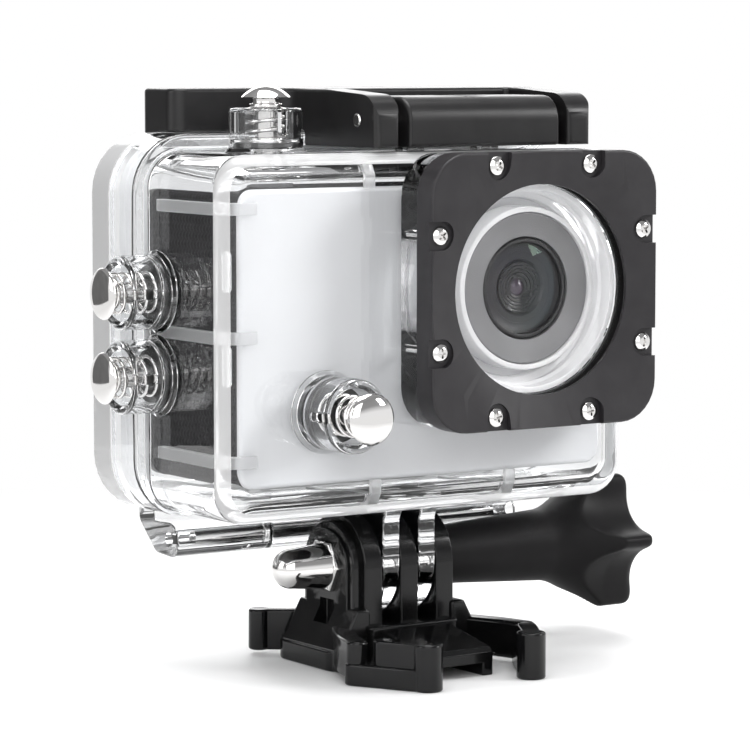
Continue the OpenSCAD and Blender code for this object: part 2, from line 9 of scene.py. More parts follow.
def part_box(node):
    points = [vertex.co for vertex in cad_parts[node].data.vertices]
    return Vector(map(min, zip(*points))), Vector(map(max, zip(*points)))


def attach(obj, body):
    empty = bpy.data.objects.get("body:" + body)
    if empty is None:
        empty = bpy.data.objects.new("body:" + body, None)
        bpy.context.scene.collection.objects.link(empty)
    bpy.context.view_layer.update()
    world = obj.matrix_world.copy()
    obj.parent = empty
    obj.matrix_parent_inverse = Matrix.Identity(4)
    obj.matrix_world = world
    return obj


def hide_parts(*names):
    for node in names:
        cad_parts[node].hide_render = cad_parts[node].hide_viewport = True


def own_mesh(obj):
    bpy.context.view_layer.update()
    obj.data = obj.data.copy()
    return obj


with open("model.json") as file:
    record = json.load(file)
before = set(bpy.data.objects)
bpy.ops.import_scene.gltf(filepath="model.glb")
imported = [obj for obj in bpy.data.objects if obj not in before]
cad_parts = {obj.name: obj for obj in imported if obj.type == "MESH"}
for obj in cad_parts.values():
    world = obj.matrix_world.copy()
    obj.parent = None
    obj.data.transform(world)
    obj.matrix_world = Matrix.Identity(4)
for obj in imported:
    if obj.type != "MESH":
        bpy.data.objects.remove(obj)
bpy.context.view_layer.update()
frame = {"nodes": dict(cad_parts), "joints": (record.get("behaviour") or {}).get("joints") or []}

# Everything below is in millimetres in the CAD's frame, and is scaled once when a piece is finished.
MM = 0.001
NODES = frame["nodes"]
JOINTS = {j["name"]: j for j in frame["joints"]}


def box(node):
    lo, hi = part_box(node)
    return lo / MM, hi / MM


def centre(node):
    lo, hi = box(node)
    return (lo + hi) / 2


def pivot(joint):
    return Vector(JOINTS[joint]["pos_m"]) / MM


# ---------- places, read from the frame ----------
TILT = pivot("housing_tilt")
LEVER = pivot("latch_lever_flip")
PIN = pivot("latch_frame_swing")
HINGE = pivot("back_door_swing")
LENS = centre("lens_ring")
BEZEL_LO, BEZEL_HI = box("bezel")
PANE_LO, PANE_HI = box("lens_window")
PLATE_LO, PLATE_HI = box("camera_front_plate")
BAND_LO, BAND_HI = box("camera_side_band")
SHELL_HI = box("front_shell")[1]
DOOR_HI = box("back_door")[1]
LATCH_LO, LATCH_HI = box("latch_frame")
FLAP_LO, FLAP_HI = box("latch_lever")
SEAL_LO, SEAL_HI = box("door_seal")
NUT_HI = box("cap_nut")[1]
KNOB_LO, KNOB_HI = box("thumb_screw_knob")

# ---------- sizes of the clear housing ----------
SHELL_W = 68.8
SHELL_H = 50.7
SHELL_R = 5
SHELL_Z = (PLATE_LO.z + PLATE_HI.z) / 2
SHELL_Y = PLATE_LO.y - 2
TOP_Z = SHELL_Z + SHELL_H / 2
BOTTOM_Z = SHELL_Z - SHELL_H / 2
WALL = 2
FLANGE_Y = 7
JOINT_Y = SHELL_HI.y
FLANGE_W = 2 * SHELL_HI.x
FLANGE_Z = SHELL_Z + 0.75
FLANGE_H = 2 * (DOOR_HI.z - FLANGE_Z)
FLANGE_R = 8.5
LENS_BOX_W = 38.6
BEZEL_W = 39
BOX_R = 6
WINDOW_R = 14.9
FINGER_R = 7.5
FINGER_PITCH = 6.1
KNUCKLE_R = 2.5
EAR_R = 2
BOLT_BORE = 2.55
SHELL = (SHELL_W, SHELL_H, SHELL_R, 0, SHELL_Z)
FLANGE = (FLANGE_W, FLANGE_H, FLANGE_R, 0, FLANGE_Z)


# ---------- mesh tools ----------
def arc(cu, cv, r, a0, a1, n):
    """Points on an arc, in degrees."""
    steps = [math.radians(a0 + (a1 - a0) * i / n) for i in range(n + 1)]
    return [(cu + r * math.cos(a), cv + r * math.sin(a)) for a in steps]


def outline(points, closed=True, steps=6):
    """A polyline whose corners (u, v, r) are rounded with radius r."""
    made = []
    n = len(points)
    for i, p in enumerate(points):
        here = Vector(p[:2])
        r = p[2] if len(p) > 2 else 0
        if r <= 0 or (not closed and i in (0, n - 1)):
            made.append(tuple(here))
            continue
        before = (Vector(points[i - 1][:2]) - here)
        after = (Vector(points[(i + 1) % n][:2]) - here)
        half = before.angle(after) / 2
        reach = min(r / math.tan(half), before.length * 0.499, after.length * 0.499)
        radius = reach * math.tan(half)
        middle = here + (before.normalized() + after.normalized()).normalized() * radius / math.sin(half)
        start = here + before.normalized() * reach - middle
        turn = start.angle_signed(here + after.normalized() * reach - middle)
        for k in range(steps + 1):
            a = -turn * k / steps
            made.append((middle.x + start.x * math.cos(a) - start.y * math.sin(a),
                         middle.y + start.x * math.sin(a) + start.y * math.cos(a)))
    return made


def round_rect(w, h, r, u=0, v=0, steps=8):
    w, h = w / 2, h / 2
    return outline([(u - w, v - h, r), (u + w, v - h, r), (u + w, v + h, r), (u - w, v + h, r)], steps=steps)


def inset(points, d):
    """The closed outline moved inwards by d."""
    area = sum(a[0] * b[1] - b[0] * a[1] for a, b in zip(points, points[1:] + points[:1]))
    side = 1 if area > 0 else -1
    made = []
    for before, here, after in zip(points[-1:] + points[:-1], points, points[1:] + points[:1]):
        e0 = (Vector(here) - Vector(before)).normalized()
        e1 = (Vector(after) - Vector(here)).normalized()
        n0, n1 = Vector((-e0.y, e0.x)) * side, Vector((-e1.y, e1.x)) * side
        q = Vector(here) + (n0 + n1) * d / max(0.3, 1 + n0.dot(n1))
        made.append((q.x, q.y))
    return made


AXES = {"x": lambda u, v, t: (t, u, v), "y": lambda u, v, t: (u, t, v), "z": lambda u, v, t: (u, v, t)}


def to_object(bm, name="work"):
    bmesh.ops.remove_doubles(bm, verts=bm.verts, dist=1e-5)
    bmesh.ops.recalc_face_normals(bm, faces=bm.faces)
    if bm.calc_volume(signed=True) < 0:
        bmesh.ops.reverse_faces(bm, faces=bm.faces)
    bmesh.ops.triangulate(bm, faces=[f for f in bm.faces if len(f.verts) > 4])
    mesh = bpy.data.meshes.new(name)
    bm.to_mesh(mesh)
    bm.free()
    ob = bpy.data.objects.new(name, mesh)
    bpy.context.scene.collection.objects.link(ob)
    return ob


def loft(rings, caps=True, around=True):
    """A skin through rings of equal length."""
    bm = bmesh.new()
    rows = [[bm.verts.new(p) for p in ring] for ring in rings]
    n = len(rows[0])
    for a, b in zip(rows, rows[1:]):
        for i in range(n if around else n - 1):
            bm.faces.new((a[i], a[(i + 1) % n], b[(i + 1) % n], b[i]))
    if caps:
        bm.faces.new(rows[0])
        bm.faces.new(rows[-1])
    return to_object(bm)


def rounded_rim(t, r, steps, opens):
    """Depth and inset of each step round a rim of radius r that opens from depth t, or closes at it."""
    made = []
    for k in range(steps + 1):
        a = math.pi / 2 * (1 - k / steps if opens else k / steps)
        made.append((t + (r if opens else -r) * (1 - math.sin(a)), r * (1 - math.cos(a))))
    return made


def prism(points, t0, t1, axis="x", edge=0.0, edge_end=None, steps=4):
    """An outline drawn out along an axis from t0 to t1, with both rims rounded."""
    edge_end = edge if edge_end is None else edge_end
    put = AXES[axis]
    levels = rounded_rim(t0, edge, steps, True) + rounded_rim(t1, edge_end, steps, False)
    if edge == 0:
        levels = levels[steps:]
    if edge_end == 0:
        levels = levels[:len(levels) - steps]
    return loft([[put(u, v, t) for u, v in inset(points, d)] for t, d in levels])


def slab(w, h, r, y0, y1, x=0, z=0, edge=0.0, edge_end=None):
    return prism(round_rect(w, h, r, x, z), y0, y1, "y", edge, edge_end)


def brick(a, b, edge=0.3, r=0.3):
    """A block from corner a to corner b with every edge rounded."""
    w, h = b[0] - a[0], b[1] - a[1]
    return prism(round_rect(w, h, r, (a[0] + b[0]) / 2, (a[1] + b[1]) / 2, 4), a[2], b[2], "z", edge)


def lathe(profile, at=(0, 0, 0), axis="z", closed=False, n=72):
    """A profile of (radius, height) turned about an axis through at."""
    turn = {"z": Matrix.Identity(3), "y": Matrix.Rotation(-math.pi / 2, 3, "X"),
            "x": Matrix.Rotation(math.pi / 2, 3, "Y"), "-x": Matrix.Rotation(-math.pi / 2, 3, "Y")}[axis]
    bm = bmesh.new()
    rows = []
    for r, t in profile:
        ring = [bm.verts.new(Vector(at) + turn @ Vector((0, 0, t)))] if r < 1e-6 else [
            bm.verts.new(Vector(at) + turn @ Vector((r * math.cos(a), r * math.sin(a), t)))
            for a in (2 * math.pi * i / n for i in range(n))]
        rows.append(ring)
    pairs = list(zip(rows, rows[1:])) + ([(rows[-1], rows[0])] if closed else [])
    for a, b in pairs:
        for i in range(n):
            j = (i + 1) % n
            corners = [a[i % len(a)], a[j % len(a)], b[j % len(b)], b[i % len(b)]]
            face = list(dict.fromkeys(corners))
            if len(face) > 2:
                bm.faces.new(face)
    if not closed:
        for ring in (rows[0], rows[-1]):
            if len(ring) > 2:
                bm.faces.new(ring)
    return to_object(bm)


def about_lens(points, y, n=128, closed=True, steps=3):
    """A rounded profile of (radius, depth behind y) turned about the lens axis."""
    return lathe(outline(points, closed, steps), (LENS.x, y, LENS.z), "y", closed, n)


def rod(at, axis, length, r, edge=0.0, n=48):
    """A rod with rounded rims."""
    side = outline([(0, 0), (r, 0, edge), (r, length, edge), (0, length)], closed=False)
    return lathe(side, at, axis, n=n)


def placed(ob, matrix):
    ob.data.transform(matrix)
    return ob


def settle(ob):
    """Applies the object's modifiers to its mesh."""
    graph = bpy.context.evaluated_depsgraph_get()
    mesh = bpy.data.meshes.new_from_object(ob.evaluated_get(graph), depsgraph=graph)
    ob.modifiers.clear()
    ob.data = mesh
    return ob


def combine(ob, others, how):
    for o in others:
        m = ob.modifiers.new(how, "BOOLEAN")
        m.operation, m.object, m.solver = how, o, "MANIFOLD"
    settle(ob)
    for o in others:
        bpy.data.objects.remove(o)
    return ob


def union(ob, *others):
    return combine(ob, others, "UNION")


def cut(ob, *others):
    return combine(ob, others, "DIFFERENCE")


def common(ob, *others):
    return combine(ob, others, "INTERSECT")


def joined(first, *others):
    """Several loose solids as one object."""
    bm = bmesh.new()
    for o in (first, *others):
        bm.from_mesh(o.data)
    for o in others:
        bpy.data.objects.remove(o)
    bm.to_mesh(first.data)
    bm.free()
    return first


def piece(ob, name, body, material, slot, *nodes, angle=32):
    """Scales a solid to metres, shades it, and puts it on its body in place of its CAD nodes."""
    ob.name = name
    ob.data.name = name
    ob.data.transform(Matrix.Scale(MM, 4))
    ob.data.shade_smooth()
    ob.data.set_sharp_from_angle(angle=math.radians(angle))
    weighted = ob.modifiers.new("weighted", "WEIGHTED_NORMAL")
    weighted.keep_sharp = True
    settle(ob)
    ob.data.materials.clear()
    ob.data.materials.append(material)
    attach(ob, body)
    if nodes:
        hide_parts(*nodes)
    return ob


# ---------- materials ----------
def shader(name, colour, roughness, metallic=0.0, **sockets):
    m = bpy.data.materials.new(name)
    m.use_nodes = True
    p = m.node_tree.nodes["Principled BSDF"]
    p.inputs["Base Color"].default_value = (*colour, 1)
    p.inputs["Roughness"].default_value = roughness
    p.inputs["Metallic"].default_value = metallic
    for key, value in sockets.items():
        p.inputs[key.replace("_", " ")].default_value = value
    return m


def noise(m, scale):
    nodes, links = m.node_tree.nodes, m.node_tree.links
    place = nodes.new("ShaderNodeTexCoord")
    n = nodes.new("ShaderNodeTexNoise")
    n.inputs["Scale"].default_value = scale
    n.inputs["Detail"].default_value = 3
    links.new(place.outputs["Object"], n.inputs["Vector"])
    return n


def grain(m, scale, depth):
    """Fine surface relief, depth in millimetres."""
    nodes, links = m.node_tree.nodes, m.node_tree.links
    bump = nodes.new("ShaderNodeBump")
    bump.inputs["Distance"].default_value = depth * MM
    bump.inputs["Strength"].default_value = 1
    links.new(noise(m, scale).outputs["Fac"], bump.inputs["Height"])
    links.new(bump.outputs["Normal"], nodes["Principled BSDF"].inputs["Normal"])
    return m


def mottle(m, other, scale):
    """Slow drift between the base colour and another."""
    nodes, links = m.node_tree.nodes, m.node_tree.links
    p = nodes["Principled BSDF"]
    ramp = nodes.new("ShaderNodeValToRGB")
    ramp.color_ramp.elements[0].position, ramp.color_ramp.elements[1].position = 0.35, 0.65
    ramp.color_ramp.elements[0].color = p.inputs["Base Color"].default_value
    ramp.color_ramp.elements[1].color = (*other, 1)
    links.new(noise(m, scale).outputs["Fac"], ramp.inputs["Fac"])
    links.new(ramp.outputs["Color"], p.inputs["Base Color"])
    return m


def uneven(m, low, high, scale):
    """Roughness that wanders between two values."""
    nodes, links = m.node_tree.nodes, m.node_tree.links
    span = nodes.new("ShaderNodeMapRange")
    span.inputs["From Min"].default_value, span.inputs["From Max"].default_value = 0.3, 0.7
    span.inputs["To Min"].default_value, span.inputs["To Max"].default_value = low, high
    links.new(noise(m, scale).outputs["Fac"], span.inputs["Value"])
    links.new(span.outputs["Result"], nodes["Principled BSDF"].inputs["Roughness"])
    return m


def see_through(m, tint):
    """Lets lamps through glass, so that what is inside is lit."""
    nodes, links = m.node_tree.nodes, m.node_tree.links
    path, mix, clear = (nodes.new(k) for k in
                        ("ShaderNodeLightPath", "ShaderNodeMixShader", "ShaderNodeBsdfTransparent"))
    clear.inputs["Color"].default_value = (*tint, 1)
    links.new(path.outputs["Is Shadow Ray"], mix.inputs[0])
    links.new(nodes["Principled BSDF"].outputs["BSDF"], mix.inputs[1])
    links.new(clear.outputs["BSDF"], mix.inputs[2])
    links.new(mix.outputs["Shader"], nodes["Material Output"].inputs["Surface"])
    return m


def surface(name, colour, rough, metallic=0.0, drift=None, relief=None, **sockets):
    """A shader with its wear: rough is one value or (low, high, scale), drift is the (colour, scale) that
    the base colour wanders to, and relief is (scale, depth)."""
    wanders = isinstance(rough, tuple)
    m = shader(name, colour, rough[0] if wanders else rough, metallic, **sockets)
    if drift:
        mottle(m, *drift)
    if wanders:
        uneven(m, *rough)
    if relief:
        grain(m, *relief)
    return m


def clear(name, colour, roughness, tint, relief, share=1, **sockets):
    """A clear shader, of which a share passes light."""
    m = surface(name, colour, roughness, relief=relief, Transmission_Weight=share, **sockets)
    return see_through(m, tint)


# clear parts
CLEAR = clear("clear_polycarbonate", (0.94, 0.945, 0.95), 0.0, (0.93, 0.94, 0.94), (90, 0.012), IOR=1.5)
# Edge band, partly a hazier finish and partly painted light: it is whiter and passes less light, to stand in
# for the brightness the rounded edge gets from refracted light.
HAZE_AND_PAINTED_LIGHT_CLEAR = clear("edge_haze_and_painted_light", (0.98, 0.98, 0.985), 0.15, (0.85, 0.85, 0.85), (90, 0.01), 0.55, IOR=1.3)
PANE = clear("window_pane", (1, 1, 1), 0.0, (0.97, 0.97, 0.97), (40, 0.002), IOR=1.14)
FROST = clear("frosted_rib", (0.96, 0.96, 0.965), 0.3, (0.6, 0.6, 0.6), (2500, 0.02), 0.85, IOR=1.3)
MILK = clear("bright_cup", (0.97, 0.97, 0.98), 0.12, (0.8, 0.8, 0.8), (700, 0.02), 0.5, IOR=1.45)
COATED = clear("coated_glass", (0.9, 0.9, 0.92), 0.01, (0.8, 0.8, 0.8), (60, 0.002), IOR=1.27,
               Thin_Film_Thickness=500.0, Thin_Film_IOR=1.24)
# black plastics and rubbers
LATCH = surface("latch_black", (0.008, 0.0075, 0.008), (0.3, 0.38, 200), 0, ((0.012, 0.0115, 0.012), 300),
                (5200, 0.003), Specular_IOR_Level=0.35)
SATIN = surface("satin_black", (0.008, 0.0075, 0.008), (0.36, 0.46, 200), 0, ((0.012, 0.0115, 0.012), 300),
                (5200, 0.004), Specular_IOR_Level=0.35)
CHARCOAL = surface("satin_charcoal", (0.017, 0.0155, 0.0175), (0.36, 0.45, 220),
                   0, ((0.022, 0.0205, 0.0225), 300), (5200, 0.004), Specular_IOR_Level=0.35)
GLOSS = surface("gloss_black", (0.002, 0.002, 0.0025), (0.1, 0.2, 150), 0, ((0.005, 0.005, 0.005), 200),
                (160, 0.006), Specular_IOR_Level=0.3)
MATTE = surface("matte_black", (0.004, 0.0037, 0.004), (0.44, 0.55, 150), 0, ((0.006, 0.0055, 0.006), 200),
                (6000, 0.006), Specular_IOR_Level=0.15)
KNIT = surface("knit_rubber", (0.008, 0.0074, 0.0084), (0.55, 0.7, 600), 0, ((0.013, 0.012, 0.014), 900),
               (9000, 0.01), Specular_IOR_Level=0.15)
BLACK_SEAL = surface("black_nitrile", (0.01, 0.01, 0.01), (0.3, 0.4, 400), relief=(4000, 0.004))
BARREL = surface("barrel_black", (0.004, 0.004, 0.0045), (0.22, 0.35, 500), relief=(6000, 0.003))
LENS_CONE = surface("lens_cone", (0.008, 0.008, 0.009), (0.3, 0.4, 500), relief=(6000, 0.002))
# metals and the white seal
CHROME = surface("nickel", (0.78, 0.77, 0.76), (0.04, 0.1, 400), 1, relief=(220, 0.002))
PLATE = surface("silver_plate", (0.72, 0.72, 0.735), (0.3, 0.36, 90), 0.1, ((0.75, 0.75, 0.765), 60),
                (9000, 0.002))
ANODISED = surface("anodised_grey", (0.15, 0.15, 0.154), (0.34, 0.42, 300), 0.35, ((0.175, 0.175, 0.18), 150),
                   (9000, 0.003))
WHITE_SEAL = surface("white_silicone", (0.86, 0.86, 0.87), 0.45, 0, ((0.8, 0.8, 0.81), 200), (3000, 0.004))
# camera parts
BOARD = surface("solder_mask", (0.01, 0.09, 0.04), 0.35, 0, ((0.015, 0.12, 0.05), 900), (3000, 0.006))
CELL = surface("cell_wrap", (0.03, 0.035, 0.045), 0.3, 0, ((0.04, 0.045, 0.06), 200), (900, 0.006))
SCREEN = surface("screen", (0.004, 0.004, 0.006), (0.06, 0.1, 120), 0, ((0.006, 0.006, 0.009), 80),
                 Coat_Weight=1)
LAMP = surface("light_pipe", (0.05, 0.22, 0.5), 0.25, 0, ((0.07, 0.28, 0.6), 900), (3000, 0.003))
IRIS = surface("pupil", (0.02, 0.008, 0.024), 0.05, 0, ((0.05, 0.02, 0.05), 500), (800, 0.003), Coat_Weight=1)
# studio
FLOOR = surface("floor_white", (0.84, 0.84, 0.84), 0.6, 0, ((0.85, 0.85, 0.85), 3), (40, 0.02))
CARD = surface("grey_card", (0.08, 0.08, 0.08), 0.8, 0, ((0.1, 0.1, 0.1), 20), (900, 0.01))


# ---------- clear housing ----------
SHUTTER_AT = centre("shutter_seal")
POWER_AT = centre("power_seal")
UP_AT = centre("up_seal")
DOWN_AT = centre("down_seal")
TURN_FRONT = Matrix.Rotation(math.pi / 2, 4, "X")
TURN_SIDE = Matrix.Rotation(-math.pi / 2, 4, "Y")
# For each push-rod: the place and direction of its boss, the height of the boss, how far the cap's shoulder
# stands above it, the floor of its well, and where the stem ends inside.
RODS = {
    "shutter": (Matrix.Translation((SHUTTER_AT.x, SHUTTER_AT.y, TOP_Z)), 6.1, 1.5, 0.2, -2.8),
    "power": (Matrix.Translation((POWER_AT.x, SHELL_Y, POWER_AT.z)) @ TURN_FRONT, 7.6, 3.6, 1.7, -0.3),
    "up": (Matrix.Translation((-SHELL_W / 2, UP_AT.y, UP_AT.z)) @ TURN_SIDE, 6.2, 2.2, 0.2, -2.7),
    "down": (Matrix.Translation((-SHELL_W / 2, DOWN_AT.y, DOWN_AT.z)) @ TURN_SIDE, 6.2, 2.2, 0.2, -2.7),
}
BOSS_R, WELL_R, SEAT_R, STEM_R = 5.2, 3.9, 4.6, 1.5


def boss(height, slot_turn):
    """The outside of a push-rod's boss with its U slots."""
    body = lathe(outline([(0, -0.5), (BOSS_R + 0.6, -0.5), (BOSS_R + 0.6, 0.1, 0.3), (BOSS_R, 0.6, 0.4),
                          (BOSS_R, height, 0.5), (0, height)], closed=False, steps=4), n=96)
    slots = []
    for a in (0, math.pi):
        track = prism(arc(0, height - 3.2, 0.65, 180, 360, 10) + [(0.65, height + 1), (-0.65, height + 1)],
                      1.2, BOSS_R + 2, "x")
        slots.append(placed(track, Matrix.Rotation(a + slot_turn, 4, "Z")))
    return cut(body, *slots)


def well(height, floor):
    """What is bored out of a boss: spring well, seal seat and stem bore."""
    flare = 0.5
    return lathe(outline([(0, -4), (STEM_R + 0.05, -4), (STEM_R + 0.05, floor), (SEAT_R, floor),
                          (SEAT_R, floor + 1.3, 0.2), (WELL_R, floor + 1.5, 0.2),
                          (WELL_R, height - flare, 0.3), (WELL_R + flare, height + 0.01),
                          (WELL_R + flare, height + 1), (0, height + 1)], closed=False, steps=3), n=96)


def shell_levels():
    """Depth, inset, and which rectangle, from the outer front face round the rim to the inner front face."""
    front_r = 2.6
    inner_r = 2.2
    rim = 0.7
    inner_y = SHELL_Y + WALL - 0.2
    seat = (FLANGE_W - 2 * WALL - 0.2, FLANGE_H - 2 * WALL - 0.2, 6.4, 0, FLANGE_Z)
    bore = (SHELL_W - 2 * WALL, SHELL_H - 2 * WALL, 3.4, 0, SHELL_Z)
    rows = []
    rims = [(SHELL, SHELL_Y, front_r, 8, True, 1), (SHELL, FLANGE_Y, rim, 4, False, -1),
            (FLANGE, FLANGE_Y, rim, 4, True, 1), (FLANGE, JOINT_Y, 0.3, 3, False, 1)]
    for rect, y, r, steps, opens, way in rims:
        rows += [(rect, t, way * d) for t, d in rounded_rim(y, r, steps, opens)]
    rows += [(seat, JOINT_Y, 0), (seat, FLANGE_Y + 1.5, 0), (bore, FLANGE_Y + 1.5, 0)]
    rows += [(bore, t, d) for t, d in reversed(rounded_rim(inner_y, inner_r, 6, True))]
    return rows


def ring_at(rect, y, d, steps=10):
    w, h, r, x, z = rect
    return [(u, y, v) for u, v in round_rect(w - 2 * d, h - 2 * d, max(r - d, 0.3), x, z, steps)]


def haze_and_painted_light_edge(ob, rect, y0, y1, depth, lean):
    """Gives the outer edge of a clear shell, between two depths, a slightly hazy moulded finish with painted
    light: a whiter, less clear band that stands in for the light the rounded edge refracts.
    """
    w, h, r, cx, cz = rect
    ob.data.materials.append(HAZE_AND_PAINTED_LIGHT_CLEAR)
    for face in ob.data.polygons:
        x, y, z = (v / MM for v in face.center)
        out = math.hypot(max(abs(x - cx) - w / 2 + r, 0), max(abs(z - cz) - h / 2 + r, 0))
        if y0 < y < y1 and r - depth < out < r + 0.3 and lean[0] < face.normal.y < lean[1]:
            face.material_index = 1


def front_shell():
    body = loft([ring_at(*row) for row in shell_levels()])
    lens_box = slab(LENS_BOX_W, LENS_BOX_W, BOX_R, BEZEL_HI.y, SHELL_Y + 0.6, LENS.x, LENS.z, 0.3, 0)
    bosses, wells = [], []
    for name, (place, height, _, floor, _) in RODS.items():
        bosses.append(placed(boss(height, 0 if name == "power" else math.pi / 2), place))
        wells.append(placed(well(height, floor), place))
        if name == "power":
            wells.append(placed(lathe([(0, -3), (3.3, -3), (3.3, 0.3), (0, 0.3)]), place))
    union(body, lens_box, *bosses, *shell_fingers(), *ears(), knuckle())
    front, back = BEZEL_HI.y - 1, SHELL_Y + 3
    bore = about_lens([(0, front), (WINDOW_R, front), (WINDOW_R, back), (0, back)], 0, closed=False)
    pins = [rod((-40, HINGE.y, HINGE.z), "x", 80, 1.01), rod((-10, LEVER.y, LEVER.z), "x", 40, 1.05),
            rod((-10, TILT.y, TILT.z), "x", 20, BOLT_BORE)]
    cut(body, bore, *wells, *pins)
    piece(body, "clear_front_shell", "housing", CLEAR, "clear", "front_shell")
    # Painted light: the rounded front corner gets the whiter edge band in place of the brightness it gets
    # from refracted light.
    haze_and_painted_light_edge(body, SHELL, SHELL_Y, SHELL_Y + 2.5, 2.4, (-0.9, -0.2))


def shell_fingers():
    """The two clear fingers of the mount."""
    r = FINGER_R - 0.1
    half = 1.45
    top = BOTTOM_Z + 0.5
    shape = outline([(-r - 1.2, top), (-r, top - 2.2, 2), *arc(0, TILT.z, r, 180, 360, 28), (r, top - 2.2, 2),
                     (r + 1.2, top)], steps=4)
    return [prism(shape, x - half, x + half, "x", 0.35) for x in (-FINGER_PITCH / 2, FINGER_PITCH / 2)]


def ears():
    """The two lugs on top that carry the pin of the thumb lever."""
    foot = TOP_Z - 0.5
    top = arc(LEVER.y, LEVER.z, EAR_R, 0, 180, 14)
    shape = outline([(LEVER.y - EAR_R, foot), (LEVER.y + 1.1, foot), *top])
    return [prism(shape, x, x + 3, "x", 0.2) for x in (2, 15)]


def knuckle():
    """Middle knuckle of the door's hinge, with its web up to the flange."""
    low = FLANGE_Z - FLANGE_H / 2 + 0.6
    shape = outline([(HINGE.y - 1.5, low), *arc(HINGE.y, HINGE.z, KNUCKLE_R, 143, 397, 28),
                     (HINGE.y + 1.5, low)])
    return prism(shape, -13.7, 13.7, "x", 0.3)


def frosted_ribs():
    """Frosted locating ribs inside the walls: each runs along the wall and turns over the front corner."""
    wall_x = WALL - SHELL_W / 2
    wall_z = SHELL_H / 2 - WALL
    front = SHELL_Y + 0.7
    half = 0.85
    ribs = []
    for z in (SHELL_Z + 18, SHELL_Z + 0.4, SHELL_Z - 16.6):
        foot = [(wall_x - 0.5, 5.5), (wall_x - 0.5, front + 1.6, 1.6), (wall_x + 1, front, 0.6),
                (wall_x + 4, front), (wall_x + 4, front + 1), (wall_x + 1.8, front + 1, 0.5),
                (wall_x + 0.9, front + 2.4, 0.8), (wall_x + 0.9, 5.5)]
        ribs.append(prism(outline(foot, steps=4), z - half, z + half, "z", 0.15))
    for x, s in ((-10, 1), (-9, -1), (14, -1)):
        foot = [(5.5, wall_z + 0.5), (front + 1.6, wall_z + 0.5, 1.6), (front, wall_z - 1, 0.6),
                (front, wall_z - 3), (front + 1, wall_z - 3), (front + 1, wall_z - 1, 0.5),
                (front + 2.4, wall_z - 0.2, 0.8), (5.5, wall_z - 0.2)]
        shape = [(y, SHELL_Z + s * z) for y, z in outline(foot, steps=4)]
        ribs.append(prism(shape, x - half, x + half, "x", 0.15))
    # two shallow upright capsules on the side wall
    for z in (SHELL_Z + 9.5, SHELL_Z - 3.4):
        mark = prism(round_rect(1.3, 5.6, 0.64), -0.3, 0.3, "x", 0.2)
        ribs.append(placed(mark, Matrix.Translation((wall_x + 0.25, SHELL_Y + 2.2, z))))
    piece(joined(*ribs), "frosted_ribs", "housing", FROST, "clear")


def door_seal():
    """A white lip seal that lines the flange."""
    depth = SEAL_HI.y - SEAL_LO.y
    outer = (FLANGE_W - 2 * WALL - 0.5, FLANGE_H - 2 * WALL - 0.5, 6.2, 0, FLANGE_Z)
    inner = (SHELL_W - 2 * WALL - 0.6, SHELL_H - 2 * WALL - 0.6, 3.2, 0, SHELL_Z + 0.4)
    share = [(0, 0.15), (0.15, 0), (0.45, 0), (0.5, 0.25), (0.55, 0.25), (0.6, 0), (0.85, 0), (1, 0.15)]
    rings = [ring_at(outer, SEAL_LO.y + t * depth, d) for t, d in share]
    rings += [ring_at(inner, SEAL_LO.y + t * depth, -d) for t, d in reversed(share)]
    seal = loft(rings + rings[:1], caps=False)
    piece(seal, "door_lip_seal", "housing", WHITE_SEAL, "white_seal", "door_seal")


def back_door():
    top, back = DOOR_HI.z, DOOR_HI.y
    joint = JOINT_Y + 0.05
    body = slab(FLANGE_W, FLANGE_H, FLANGE_R, joint, back, 0, FLANGE_Z, 0.3, 1.1)
    plug = slab(PLATE_HI.x * 2 - 1, 45, 3, PLATE_LO.y + 23.2, JOINT_Y + 0.5, 0, SHELL_Z + 0.4, 0.4, 0)
    lug = outline([(HINGE.y, HINGE.z - KNUCKLE_R), (JOINT_Y, HINGE.z - 2.3, 2), (back - 1, HINGE.z + 2, 2),
                   (back - 1, HINGE.z + 7, 0.5), (joint, HINGE.z + 7), (joint, HINGE.z + 2.4),
                   *arc(HINGE.y, HINGE.z, KNUCKLE_R, 90, 265, 18)])
    union(body, plug, *[prism(lug, x, x + 15.5, "x", 0.35) for x in (14, -29.5)])
    shelf, slope = back - 2.8, 0.84
    ledge = prism([(shelf, top), (shelf, top + 1), (back + 1, top + 1), (back + 1, top - slope * 3.8)],
                  -40, 40, "x")
    recess = slab(54, 40, 4, back - 3.2, back + 1, 0, FLANGE_Z, 0.5, 0)
    pins = rod((-40, HINGE.y, HINGE.z), "x", 80, 1.05)
    cut(body, recess, ledge, pins)
    piece(body, "clear_back_door", "back_door", CLEAR, "clear", "back_door")
    # Painted light: the door's outer edge gets the whiter edge band in place of the light it catches from the
    # side.
    haze_and_painted_light_edge(body, FLANGE, JOINT_Y + 0.2, back, 0.6, (-0.8, 0.8))


